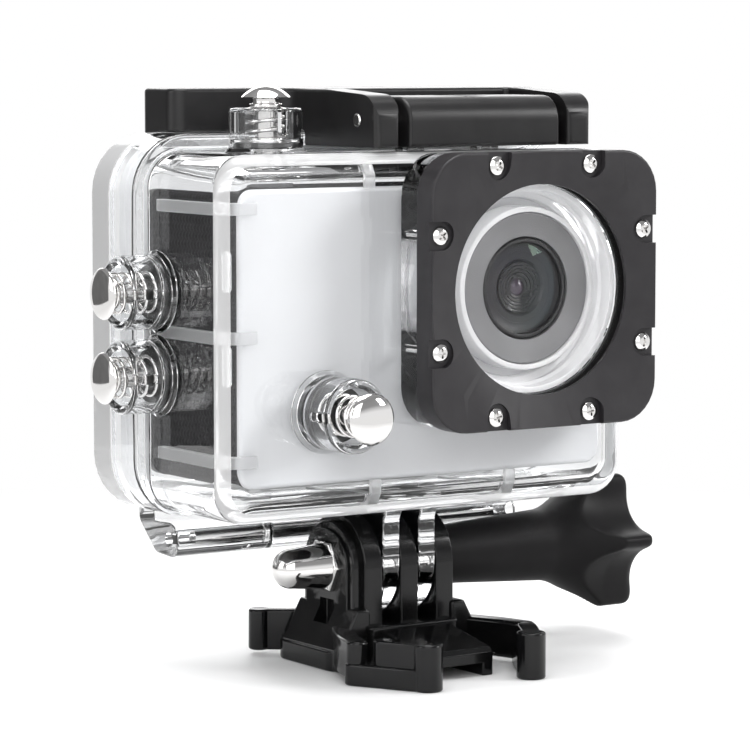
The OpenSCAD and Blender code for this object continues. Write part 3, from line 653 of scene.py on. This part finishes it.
def bezel():
    body = slab(BEZEL_W, BEZEL_W, BOX_R, BEZEL_LO.y, BEZEL_HI.y, LENS.x, LENS.z, 0.35, 0.1)
    cone = [(0, 1.2), (WINDOW_R, 1.2), (20, 0), (20, -1), (0, -1)]
    dish = about_lens(cone, BEZEL_LO.y, 160, closed=False)
    rebate = [(0, -2), (WINDOW_R, -2), (WINDOW_R, 1.72), (17, 1.72), (17, 5), (0, 5)]
    bore = about_lens(rebate, BEZEL_LO.y, 160, closed=False)
    seats = []
    for x, z in screw_places():
        ends = arc(0, 0, 2, 180, 360, 16) + [(2, 6), (-2, 6)]
        seat = prism(ends, BEZEL_LO.y - 1, BEZEL_LO.y + 1, "y")
        upright = abs(z) > abs(x)
        turn = (0 if z > 0 else math.pi) if upright else math.copysign(math.pi / 2, x)
        place = Matrix.Translation((LENS.x + x, 0, LENS.z + z))
        seats.append(placed(seat, place @ Matrix.Rotation(turn, 4, "Y")))
    cut(body, dish, bore, *seats)
    piece(body, "lens_bezel", "housing", CHARCOAL, "satin_black", "bezel", angle=25)


def screw_places():
    near, far = 8.13, 17.61
    return [(s * a, t * b) for a, b in ((near, far), (far, near)) for s in (-1, 1) for t in (-1, 1)]


def bezel_screws():
    """Pan heads with crossed recesses, each stopped at its own angle."""
    screws = []
    for k, (x, z) in enumerate(screw_places()):
        head = lathe(outline([(0, -7), (0.82, -7), (0.82, 0), (1.35, 0, 0.1), (1.33, 0.3, 0.2),
                              (0.75, 0.66, 0.5), (0, 0.7)], closed=False, steps=4), n=40)
        turn = math.radians(17 + 41 * k)
        cross = []
        for a in (turn, turn + math.pi / 2):
            bar = prism([(-0.85, 0.9), (-0.4, 0.15), (0.4, 0.15), (0.85, 0.9)], -0.15, 0.15, "y")
            cross.append(placed(bar, Matrix.Rotation(a, 4, "Z")))
        cut(head, union(*cross))
        screws.append(placed(head, Matrix.Translation((LENS.x + x, BEZEL_LO.y + 1, LENS.z + z)) @ TURN_FRONT))
    piece(joined(*screws), "bezel_cross_screws", "housing", CHROME, "steel", "bezel_screws")


def lens_window():
    r = (PANE_HI.x - PANE_LO.x) / 2
    depth = PANE_HI.y - PANE_LO.y
    pane = about_lens([(0, 0), (r, 0, 0.3), (r, depth, 0.3), (0, depth)], PANE_LO.y, closed=False, steps=6)
    piece(pane, "window_disc", "housing", PANE, "clear", "lens_window")
    cup = about_lens([(14.0, 0.1, 0.15), (14.85, 0.1, 0.15), (14.85, 5.4, 0.1), (12.6, 5.4, 0.2),
                      (12.9, 4.4, 0.2), (13.7, 3.6, 0.3), (13.5, 2.4, 0.2), (13.9, 2.0, 0.2)],
                     PANE_HI.y + 0.5)
    piece(cup, "window_cup", "housing", MILK, "clear")
    ring_lo, ring_hi = box("lens_ring")
    inner = (ring_hi.x - ring_lo.x) / 2 + 0.1
    sleeve = about_lens([(inner, 0, 0.1), (inner + 0.75, 0.1, 0.2), (inner + 0.9, 3.6, 0.1),
                         (inner, 3.6, 0.1)], ring_lo.y - 0.05)
    piece(sleeve, "window_sleeve", "housing", MILK, "clear")


# ---------- push-rods ----------
def plunger(name, place, height, lift, inner):
    """A polished push-rod: the top one has a flat cap, the others a domed one."""
    top = height + lift
    neck = [(0, inner, 0), (STEM_R, inner, 0.2), (STEM_R, top - 1.5, 0.1), (2.3, top - 1.5, 0.15),
            (2.3, top - 0.9, 0.15), (1.9, top - 0.9, 0.1), (1.9, top - 0.2, 0.1)]
    if name == "shutter":
        dome = arc(0, top - 2.9, 4.5, 40.2, 90, 14)
        rim = [(3.3, top, 0.05)]
    else:
        cap_r = 3.6
        low = box(name + "_plunger")[0]
        rise = (SHELL_Y - low.y if name == "power" else -SHELL_W / 2 - low.x) - top
        turns = [math.pi / 2 * (0.06 + 0.94 * k / 18) for k in range(19)]
        dome = [(cap_r * math.cos(a), top + rise * math.sin(a)) for a in turns]
        rim = [(3.4, top, 0.1)]
    shape = outline(neck + rim, closed=False, steps=3) + dome[:-1] + [(0, dome[-1][1])]
    body = placed(lathe(shape, n=72), place)
    piece(body, name + "_push_rod", name + "_button", CHROME, "steel", name + "_plunger")


def coil(z0, z1, turns, wire, radius, sides=10, per_turn=28):
    """A compression spring with closed ends."""
    rings = []
    count = int(turns * per_turn)
    closed_end = 0.75
    for i in range(count + 1):
        t = i / per_turn
        climb = min(max((t - closed_end) / (turns - 2 * closed_end), 0), 1)
        z = z0 + wire + (z1 - z0 - 2 * wire) * climb
        a = 2 * math.pi * t
        section = arc(radius, z, wire, 0, 360, sides)[:-1]
        rings.append([(r * math.cos(a), r * math.sin(a), h) for r, h in section])
    return loft(rings)


def push_rods():
    for name, (place, height, lift, floor, inner) in RODS.items():
        plunger(name, place, height, lift, inner)
        low = floor + 1.35
        high = height + lift - 1.5
        spring = piece(placed(coil(low, high, 4.5, 0.24, 2.75), place), name + "_coil", "housing", CHROME,
                       "steel", name + "_spring", angle=60)
        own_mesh(spring)
        ring = lathe(outline([(STEM_R + 0.02, 0, 0.2), (SEAT_R - 0.06, 0, 0.45), (SEAT_R - 0.06, 1.15, 0.45),
                              (STEM_R + 0.02, 1.15, 0.2)]), (0, 0, floor + 0.05), closed=True, n=96)
        piece(placed(ring, place), name + "_o_ring", "housing", BLACK_SEAL, "black_seal", name + "_seal")


# ---------- camera ----------
def camera_plate():
    lo, hi = PLATE_LO, PLATE_HI
    body = slab(hi.x - lo.x, hi.z - lo.z, 2.5, lo.y, hi.y, 0, SHELL_Z, 0.7, 0.05)
    hole = about_lens([(0, -1), (10.8, -1), (10.8, 2), (0, 2)], lo.y, closed=False)
    button = lathe([(0, -1), (2.55, -1), (2.55, 2), (0, 2)], (POWER_AT.x, lo.y, POWER_AT.z), "y")
    cut(body, hole, button)
    piece(body, "silver_front_plate", "housing", PLATE, "silver_plate", "camera_front_plate")


def camera_band():
    """Rubber band round the camera, moulded with a fine knit of small staggered chevrons."""
    lo, hi = BAND_LO, BAND_HI
    w, h, r = hi.x - lo.x, hi.z - lo.z, 2.5
    pitch, relief, step = 1.15, 0.24, 0.2
    straight_w, straight_h, quarter = w - 2 * r, h - 2 * r, math.pi * r / 2
    around = 2 * (straight_w + straight_h) + 4 * quarter
    count = int(around / step)

    def walk(s):
        """Point and outward normal at a distance s round the section."""
        for length, corner, way in ((straight_w, (-1, -1), (1, 0)), (straight_h, (1, -1), (0, 1)),
                                    (straight_w, (1, 1), (-1, 0)), (straight_h, (-1, 1), (0, -1))):
            normal = (way[1], -way[0])
            start = (corner[0] * straight_w / 2 + normal[0] * r, corner[1] * straight_h / 2 + normal[1] * r)
            if s < length:
                return (start[0] + way[0] * s, start[1] + way[1] * s), normal
            s -= length
            if s < quarter:
                a = s / r
                c = (start[0] + way[0] * length - normal[0] * r, start[1] + way[1] * length - normal[1] * r)
                n = tuple(normal[i] * math.cos(a) + way[i] * math.sin(a) for i in (0, 1))
                return (c[0] + n[0] * r, c[1] + n[1] * r), n
            s -= quarter
        return (-straight_w / 2, -h / 2), (0, -1)

    places = [walk(i * around / count) for i in range(count)]
    depths = int((hi.y - lo.y) / step)
    rings = []
    for k in range(depths + 1):
        y = lo.y + (hi.y - lo.y) * k / depths
        ring = []
        for i, (p, n) in enumerate(places):
            s = i * around / count
            row = s / pitch
            across = y / pitch * 1.35 + abs((row % 1) - 0.5) * 0.9 + (0.5 if int(row) % 2 else 0)
            bump = abs(math.sin(math.pi * row)) * abs(math.sin(math.pi * across))
            edge = min(1, (y - lo.y) / 0.5, (hi.y - y) / 0.5)
            d = relief * (1 - bump) * edge
            ring.append((p[0] - n[0] * d, y, p[1] + SHELL_Z - n[1] * d))
        rings.append(ring)
    inner = round_rect(w - 3.2, h - 3.2, 1, 0, SHELL_Z)
    hull = loft(rings)
    hollow = prism(inner, lo.y - 1, hi.y + 1, "y")
    gaps = [rod((lo.x - 1, at.y, at.z), "x", 4, 2.25) for at in (UP_AT, DOWN_AT)]
    gaps.append(rod((SHUTTER_AT.x, SHUTTER_AT.y, hi.z - 3), "z", 5, 3.45))
    for z in (SHELL_Z - 8, SHELL_Z + 3):
        gaps.append(brick((hi.x - 3, 2.3, z - 0.1), (hi.x + 1, 6, z + 8.1), 0.2, 0.5))
    a, b = box("memory_card")
    gaps.append(brick((hi.x - 3, a.y - 0.3, a.z - 0.5), (hi.x + 1, b.y + 0.3, b.z + 0.5), 0.1, 0.4))
    a, b = box("battery_door")
    gaps.append(brick((a.x - 0.1, a.y - 0.1, a.z - 1), (b.x + 0.1, b.y + 0.1, b.z + 1), 0, 0.5))
    cut(hull, hollow, *gaps)
    piece(hull, "knit_rubber_band", "housing", KNIT, "grip_black", "camera_side_band", angle=70)


def lens():
    lo, hi = box("lens_ring")
    r = (hi.x - lo.x) / 2
    depth = hi.y - lo.y
    ring = about_lens([(7.35, 0.5, 0.1), (7.35, depth), (r, depth), (r, 0.25, 0.25)], lo.y, 144, steps=4)
    piece(ring, "grey_lens_ring", "housing", ANODISED, "grey_ring", "lens_ring", angle=28)
    lo_b, hi_b = box("lens_barrel")
    d = hi_b.y - lo_b.y
    stairs = [(7.3, 0.35, 0.15), (6.95, 0.05, 0.1), (6.55, 0.05, 0.1), (6.5, 1.3, 0.1), (6.1, 1.32),
              (5.9, 1.4), (5.0, 1.46), (4.92, 1.5), (4.0, 1.56), (3.6, 1.9), (3.6, d), (7.3, d)]
    barrel = about_lens(stairs, lo_b.y, 144)
    piece(barrel, "lens_barrel_steps", "housing", LENS_CONE, "lens_black", "lens_barrel", angle=20)
    front_lo, front_hi = box("lens_front_glass")
    glass_r = (front_hi.x - front_lo.x) / 2
    thick = front_hi.y - front_lo.y
    ball = 20.4
    drop = ball - math.sqrt(ball * ball - glass_r * glass_r)
    turns = [math.asin(glass_r / ball) * k / 16 for k in range(1, 17)]
    face = [(ball * math.sin(a), ball - ball * math.cos(a)) for a in turns]
    hollow = [(5.6 * k / 10, thick - 0.5 + 0.45 * (k / 10) ** 2) for k in range(11)]
    dome = about_lens([(0, 0)] + face + [(glass_r, max(drop + 0.05, thick))] + hollow[::-1],
                      front_lo.y, closed=False)
    piece(dome, "coated_front_glass", "housing", COATED, "lens_glass", "lens_front_glass", angle=30)
    rings = []
    for k in range(5):
        radius = 3.55 - 0.5 * k
        hole_r = radius - 0.42
        rings.append(about_lens([(hole_r, 0.12, 0.05), (radius, 0, 0.05), (radius, 0.5, 0.05),
                                 (hole_r, 0.5, 0.05)], lo_b.y + 1.6 + 0.12 * k, 72))
    piece(joined(*rings), "iris_rings", "housing", BARREL, "lens_black", angle=25)
    pupil_r = 1.4
    bowl = [(u, pupil_r + v) for u, v in arc(0, 0, pupil_r, -90, 0, 10)[1:]]
    pupil = about_lens([(0, 0), *bowl, (pupil_r, 2.2), (0, 2.2)], lo_b.y + 1.75, 72, closed=False)
    piece(pupil, "pupil_glass", "housing", IRIS, "lens_glass", "lens_inner_glass", angle=30)


# ---------- latch ----------
def latch_lever():
    lo, hi = FLAP_LO, FLAP_HI
    top = hi.z
    back = LEVER.y + 1.5
    reach = LEVER.z - lo.z
    shape = outline([(back, top, 1.2), (lo.y, top, 4.6), (lo.y, lo.z, 0.5), (LEVER.y, lo.z),
                     *arc(LEVER.y, LEVER.z, reach, -90, 0, 10)], steps=10)
    body = prism(shape, lo.x, hi.x, "x", 0.55)
    room = prism(outline([(lo.y + 2, lo.z - 1), (back + 4, lo.z - 1), (back + 4, LEVER.z + 2.4),
                          (lo.y + 2, LEVER.z + 2.4, 1.6)]), lo.x + 1.7, hi.x - 1.7, "x", 0.3)
    pins = [rod((lo.x - 1, LEVER.y, LEVER.z), "x", hi.x - lo.x + 2, 1),
            rod((lo.x - 1, PIN.y, PIN.z), "x", 4, 1.05), rod((hi.x - 3, PIN.y, PIN.z), "x", 4, 1.05)]
    mid = (lo.x + hi.x) / 2
    scoop = lathe(arc(0, 0, 13.8, -90, 90, 40), (mid, -5.5, top + 12.95), "z", n=96)
    slot = brick((mid - 3.2, back - 3.2, top - 0.5), (mid + 3.2, back - 2.2, top + 1), 0.1, 0.4)
    cut(body, room, *pins, scoop, slot)
    piece(body, "latch_flap", "latch_lever", LATCH, "satin_black", "latch_lever")


def latch_frame():
    """Two arms and a long rear bar with a hook under its back edge: the plan cut to the side profile."""
    lo, hi = LATCH_LO, LATCH_HI
    top, low, front = hi.z, FLAP_LO.z, lo.y
    bar_low, hook_z = low + 2.2, 73.74
    arm_l, arm_r = (-8.8, -4.8), (24.2, 28.5)
    plan = outline([(lo.x, hi.y, 1.6), (lo.x, 13, 2.4), (arm_l[0], 13, 5), (arm_l[0], front, 1),
                    (arm_l[1], front, 0.8), (arm_l[1], 3, 0.8), (arm_r[0], 3, 0.8), (arm_r[0], front, 0.8),
                    (arm_r[1], front, 1.2), (arm_r[1], hi.y, 1.6)], steps=8)
    body = prism(plan, hook_z, top, "z", 0, 0.55)
    side = outline([(front, top - 0.9, 5), (front, low, 0.6), (6.4, low, 0.4), (6.4, bar_low, 0.4),
                    (17.25, bar_low, 0.2), (20.65, hook_z), (hi.y, hook_z, 0.4), (hi.y, top + 1),
                    (2, top + 1), (2, top - 0.02)], steps=10)
    common(body, prism(side, lo.x - 1, hi.x + 1, "x"))
    cut(body, *[rod((arm[0] - 1, PIN.y, PIN.z), "x", 6.5, 1) for arm in (arm_l, arm_r)])
    piece(body, "latch_bail", "latch_frame", LATCH, "satin_black", "latch_frame")


def pins():
    """Pins with knurled, slightly domed ends."""
    def knurled(at, length):
        flutes = 18
        rings = []
        for t, k in ((0, 0.75), (0.12, 0.97), (length - 0.12, 0.97), (length, 0.75)):
            ring = []
            for i in range(2 * flutes):
                r = k * (1 - 0.06 * (i % 2))
                a = math.pi * i / flutes
                ring.append((at[0] + t, at[1] + r * math.cos(a), at[2] + r * math.sin(a)))
            rings.append(ring)
        return loft(rings)

    lo, hi = box("frame_pins")
    left = knurled((lo.x, PIN.y, PIN.z), FLAP_LO.x + 1.5 - lo.x)
    right = knurled((FLAP_HI.x - 1.5, PIN.y, PIN.z), hi.x - FLAP_HI.x + 1.5)
    piece(joined(left, right), "bail_pins", "latch_frame", CHROME, "steel", "frame_pins", angle=20)


# ---------- mount ----------
def cap_nut():
    hex_r, hex_len, dome_r = 4.04, 3.3, 3.1
    hex_x = NUT_HI.x - hex_len
    hexagon = arc(0, TILT.z, hex_r, 0, 360, 6)[:-1]
    body = prism(outline([(u, v, 0.25) for u, v in hexagon], steps=3), hex_x, hex_x + hex_len, "x", 0.45, 0.1)
    cone = dome_r - 0.25
    cap = lathe(outline([(0, 0), (dome_r + 0.25, 0), (cone, 5.2, 0.3)], closed=False)[:-1]
                + arc(0, 5.2, cone, 0, 90, 14)[:-1] + [(0, 5.2 + cone)],
                (hex_x + 0.2, 0, TILT.z), "-x", n=72)
    union(body, cap)
    piece(body, "domed_cap_nut", "buckle", CHROME, "steel", "cap_nut", angle=30)


def thumb_screw():
    """Long tapered neck that flares into a five-lobed head with hollowed flanks."""
    tip, waist, gap_r = 10.3, 6.4, 7.0
    sides = 240
    start, end = KNOB_LO.x, KNOB_HI.x
    bore_end = 30
    flare0, flare_len = end - 15, 9.5
    soft = 3.0
    rim = 1.5

    def star(a):
        """Reach of the head at an angle: the tip circle, hollowed by five round bites."""
        best = tip
        for k in range(5):
            off = a - math.radians(68 + 72 * k)
            c = (waist + gap_r) * math.cos(off)
            inside = gap_r * gap_r - ((waist + gap_r) * math.sin(off)) ** 2
            if c > 0 and inside > 0:
                best = min(best, c - math.sqrt(inside))
        return best

    stars = [star(2 * math.pi * i / sides) for i in range(sides)]
    for _ in range(4):
        stars = [(stars[i - 1] + 2 * stars[i] + stars[(i + 1) % sides]) / 4 for i in range(sides)]

    def reach(t):
        """The plain radius along the screw, before the bites."""
        if t < flare0:
            return 4.1 + 1.2 * (t - start) / (flare0 - start)
        s = (t - flare0) / flare_len
        return 5.3 + 5.2 * min(s, 1) ** 1.7

    rings = []
    stops = [start, start + 0.3, flare0 - 8, flare0] + [flare0 + 0.4 * k for k in range(1, 34)]
    stops += [end - rim + rim * math.sin(math.pi / 2 * k / 8) for k in range(9)]
    for t in sorted(set(round(x, 4) for x in stops if x <= end)):
        ring = []
        shrink = max(0, t - (end - rim)) / rim
        cap = rim * (1 - math.sqrt(max(0, 1 - shrink * shrink)))
        plain = reach(t)
        deep = min(1, max(0, (t - flare0) / flare_len))
        for i in range(sides):
            a = 2 * math.pi * i / sides
            limit = stars[i] + (1 - deep) * 1.2
            gap = plain - limit
            r = plain - max(0, gap) if abs(gap) > 1 / soft else plain - soft * (gap + 1 / soft) ** 2 / 4
            if t < start + 0.2:
                r -= 0.3
            ring.append((t, (r - cap) * math.cos(a), TILT.z + (r - cap) * math.sin(a)))
        rings.append(ring)
    body = loft(rings)
    cup = lathe(outline([(0, 0), (3.6, 0, 0.6), (4.2, 1.2, 0.2), (4.2, 2), (0, 2)], closed=False),
                (end - 1.2, 0, TILT.z), "x", n=72)
    cut(body, cup, rod((start - 1, 0, TILT.z), "x", bore_end + 1 - start, 2.5))
    piece(body, "star_thumb_screw", "thumb_screw", MATTE, "satin_black", "thumb_screw_knob", angle=40)


def tower(r, low, x0, x1, edge, n=30):
    """A plate across the bolt, round over it and straight down to the height low."""
    return prism([*arc(0, TILT.z, r, 0, 180, n), (-r, low), (r, low)], x0, x1, "x", edge)


def buckle():
    base_x, base_h, t = 7.6, 6.4, 1.5
    parts = [tower(FINGER_R, 4, x - t, x + t, 0.25, 36) for x in (-FINGER_PITCH, 0, FINGER_PITCH)]
    parts += [tower(6.5, 6, -9.0, -7.3, 0.3), tower(5.4, 8.2, -9.4, -8.5, 0.2),
              brick((-base_x, -9, 0), (base_x, 9.5, base_h), 0.4, 0.6)]
    for s in (-1, 1):
        flank = [(s * 7, 0), (s * 12.2, 0), (s * 12.2, 3.2), (s * 9.2, 8.8), (s * 7, 8.8)]
        parts.append(prism(outline([(u, v, 0.5) for u, v in flank], steps=3), -8, 7.4, "y", 0.35))
    parts.append(prism(round_rect(25, 18, 3.5, 0, 1), 0, 2.9, "z", 0.3))
    # tongue: sloping deck with a grooved front on two runners
    deck = outline([(-20, 1.8, 0.2), (-8.5, 1.8), (-8.5, 6.0), (-19.3, 4.0, 0.5), (-20, 3.3, 0.3)], steps=3)
    parts.append(prism(deck, -5.8, 5.8, "x", 0.25))
    parts.append(prism(outline([(-20, 3.0), (-9, 3.0), (-9, 5.3), (-19, 3.4)]), -6.2, 6.2, "x", 0.1))
    for s in (-1, 1):
        parts.append(brick((s * 4.9 - 0.9, -20, 0), (s * 4.9 + 0.9, -8.5, 2.2), 0.2, 0.3))
        parts += pinch_tab(s)
    body = union(*parts)
    seat = prism(arc(0, TILT.z, 4.1, 0, 360, 6)[:-1], -10, -6.9, "x")
    window = brick((-11, -2.2, 6.2), (-8.2, 1.6, 9.6), 0, 0.2)
    cut(body, seat, window, rod((-8, 0, TILT.z), "x", 18, BOLT_BORE))
    piece(body, "quick_release_buckle", "buckle", GLOSS, "gloss_black", "buckle_base", angle=30)


def ribbon(path, width, z0, z1, edge=0.3):
    """A wall that follows a plan path, with round ends."""
    left, right = [], []
    pts = [Vector(p) for p in path]
    for i, p in enumerate(pts):
        a, b = pts[max(i - 1, 0)], pts[min(i + 1, len(pts) - 1)]
        d = (b - a).normalized()
        n = Vector((-d.y, d.x)) * width / 2
        left.append(p + n)
        right.append(p - n)

    def cap(p, n0):
        start = math.degrees(math.atan2(n0.y, n0.x))
        return arc(p.x, p.y, width / 2, start, start - 180, 10)[1:-1]

    end = cap(pts[-1], left[-1] - pts[-1])
    begin = cap(pts[0], right[0] - pts[0])
    shape = [tuple(p) for p in left] + end + [tuple(p) for p in reversed(right)] + begin
    return prism(shape, z0, z1, "z", edge)


def curve(points, steps=8):
    """A smooth path through plan points (Catmull-Rom)."""
    pts = [Vector(p) for p in points]
    pts = [2 * pts[0] - pts[1]] + pts + [2 * pts[-1] - pts[-2]]
    made = []
    for a, b, c, d in zip(pts, pts[1:], pts[2:], pts[3:]):
        for k in range(steps):
            t = k / steps
            made.append(0.5 * ((2 * b) + (c - a) * t + (2 * a - 5 * b + 4 * c - d) * t * t
                               + (3 * b - a - 3 * c + d) * t * t * t))
    return made + [pts[-2]]


def pinch_tab(s):
    """One spring arm: a shoulder from the body, the pinch plate with its lower ledge, and the rear wing."""
    def side(points):
        return [(s * x, y) for x, y in points]
    plate = side([(14.3, -15.6), (12.2, -19.2), (10.4, -22.4), (8.75, -25.0)])
    parts = [ribbon(curve(plate), 3.4, 0, 3.1, 0.35), ribbon(curve(plate[1:]), 2.7, 2.9, 6.6, 0.3)]
    post = rod((s * 8.75, -25.0, 0), "z", 6.6, 2.05, 0.35)
    parts.append(post)
    shoulder = side([(7.6, -0.5), (10.2, -5.8), (12.9, -11.2), (14.3, -15.6)])
    parts.append(ribbon(curve(shoulder), 3.0, 0.8, 6.2, 0.5))
    wing = side([(6.0, 8.2), (9.5, 10.2), (12.9, 12.6)])
    parts.append(ribbon(curve(wing), 2.0, 0.7, 6.7, 0.4))
    parts.append(rod((s * 12.9, 12.6, 0.7), "z", 6, 1.6, 0.4))
    return parts


# ---------- carried-over CAD nodes ----------
CARRIED = {
    SATIN: ["camera_back_cover", "battery_door", "camera_up_button", "camera_down_button"],
    CHROME: ["tilt_bolt", "hinge_pin", "lever_pin", "shutter_clip", "power_clip", "up_clip", "down_clip",
             "camera_case_screws", "port_sockets"],
    BLACK_SEAL: ["window_seal"],
    ANODISED: ["camera_shutter_button", "camera_power_button", "speaker"],
    BARREL: ["memory_card"],
    SCREEN: ["screen_glass", "screen_panel", "image_sensor"],
    BOARD: ["sensor_board", "main_board"],
    CELL: ["battery"],
    LAMP: ["status_lamps"],
}


def paint_carried():
    for material, names in CARRIED.items():
        for name in names:
            mesh = NODES[name].data
            mesh.materials.clear()
            mesh.materials.append(material)


# ---------- studio ----------
def area(name, at, size, power):
    """A lamp that faces the middle of the object."""
    middle = Vector((0, 0, 45))
    data = bpy.data.lights.new(name, "AREA")
    data.shape, data.size, data.size_y = "RECTANGLE", size[0], size[1]
    data.energy = power
    lamp = bpy.data.objects.new(name, data)
    lamp.location = Vector(at) * MM
    lamp.rotation_mode = "QUATERNION"
    lamp.rotation_quaternion = (middle * MM - lamp.location).to_track_quat("-Z", "Y")
    bpy.context.scene.collection.objects.link(lamp)


def camera():
    """The viewpoint fitted to the photo."""
    data = bpy.data.cameras.new("camera")
    data.lens, data.sensor_width = 163.1, 36
    data.clip_start, data.clip_end = 0.01, 30
    ob = bpy.data.objects.new("camera", data)
    forward = Vector((0.5482, 0.8309, -0.0953))
    ob.location = (-0.2688, -0.4059, 0.0878)
    ob.rotation_mode = "QUATERNION"
    ob.rotation_quaternion = forward.to_track_quat("-Z", "Y")
    bpy.context.scene.collection.objects.link(ob)
    bpy.context.scene.camera = ob


def glow_floor():
    """A pale floor that turns into an even white sweep away from the object."""
    nodes, links = FLOOR.node_tree.nodes, FLOOR.node_tree.links
    place, length, span, mix, glow = (nodes.new(k) for k in (
        "ShaderNodeTexCoord", "ShaderNodeVectorMath", "ShaderNodeMapRange", "ShaderNodeMixShader",
        "ShaderNodeEmission"))
    length.operation = "LENGTH"
    span.interpolation_type = "SMOOTHSTEP"
    span.inputs["From Min"].default_value, span.inputs["From Max"].default_value = 0.07, 0.2
    links.new(place.outputs["Object"], length.inputs[0])
    links.new(length.outputs["Value"], span.inputs["Value"])
    links.new(span.outputs["Result"], mix.inputs[0])
    links.new(nodes["Principled BSDF"].outputs["BSDF"], mix.inputs[1])
    links.new(glow.outputs["Emission"], mix.inputs[2])
    links.new(mix.outputs["Shader"], nodes["Material Output"].inputs["Surface"])
    return FLOOR


def flag(at, width, height, turn):
    """A dark card beside the object that the clear side wall mirrors. The camera does not see the card."""
    card = brick((-width / 2, -4, 2), (width / 2, 4, height), 1, 2)
    placed(card, Matrix.Translation((*at, 0)) @ Matrix.Rotation(math.radians(turn), 4, "Z"))
    card.name = "dark_flag"
    card.data.transform(Matrix.Scale(MM, 4))
    card.data.materials.append(CARD)
    card.visible_camera = False


def studio():
    world = bpy.data.worlds.new("studio")
    bpy.context.scene.world = world
    world.use_nodes = True
    nodes, links = world.node_tree.nodes, world.node_tree.links
    back = nodes["Background"]
    place = nodes.new("ShaderNodeTexCoord")
    split = nodes.new("ShaderNodeSeparateXYZ")
    ramp = nodes.new("ShaderNodeValToRGB")
    links.new(place.outputs["Generated"], split.inputs["Vector"])
    half = nodes.new("ShaderNodeMapRange")
    half.inputs["From Min"].default_value, half.inputs["From Max"].default_value = -1, 1
    links.new(split.outputs["Z"], half.inputs["Value"])
    links.new(half.outputs["Result"], ramp.inputs["Fac"])
    stops = ramp.color_ramp.elements
    stops[0].position, stops[0].color = 0.0, (1, 1, 1, 1)
    stops[1].position, stops[1].color = 1.0, (0.45, 0.45, 0.46, 1)
    for at, grey in ((0.56, 1.0), (0.66, 0.35), (0.85, 0.3)):
        stop = stops.new(at)
        stop.color = (grey, grey, grey * 1.01, 1)
    links.new(ramp.outputs["Color"], back.inputs["Color"])
    back.inputs["Strength"].default_value = 1.0
    floor = lathe([(0, -1), (9000, -1), (9000, 0), (0, 0)], n=96)
    floor.name = "floor"
    floor.data.transform(Matrix.Scale(MM, 4))
    floor.data.materials.append(glow_floor())
    flag((-190, 215), 250, 190, 40)
    area("key", (-420, -600, 380), (0.7, 0.6), 2.8)
    area("side", (-650, 60, 300), (0.3, 0.4), 1.0)
    area("fill", (600, -440, 400), (0.22, 0.26), 3.2)
    area("top", (20, 20, 700), (0.5, 0.5), 4.6)
    area("back", (500, 760, 420), (0.9, 0.45), 4)
    bpy.context.scene.view_settings.view_transform = "Standard"
    bpy.context.scene.cycles.max_bounces = 24
    bpy.context.scene.cycles.transmission_bounces = 24


camera()
studio()
paint_carried()
front_shell()
frosted_ribs()
door_seal()
back_door()
bezel()
bezel_screws()
lens_window()
push_rods()
camera_plate()
camera_band()
lens()
latch_lever()
latch_frame()
pins()
cap_nut()
thumb_screw()
buckle()
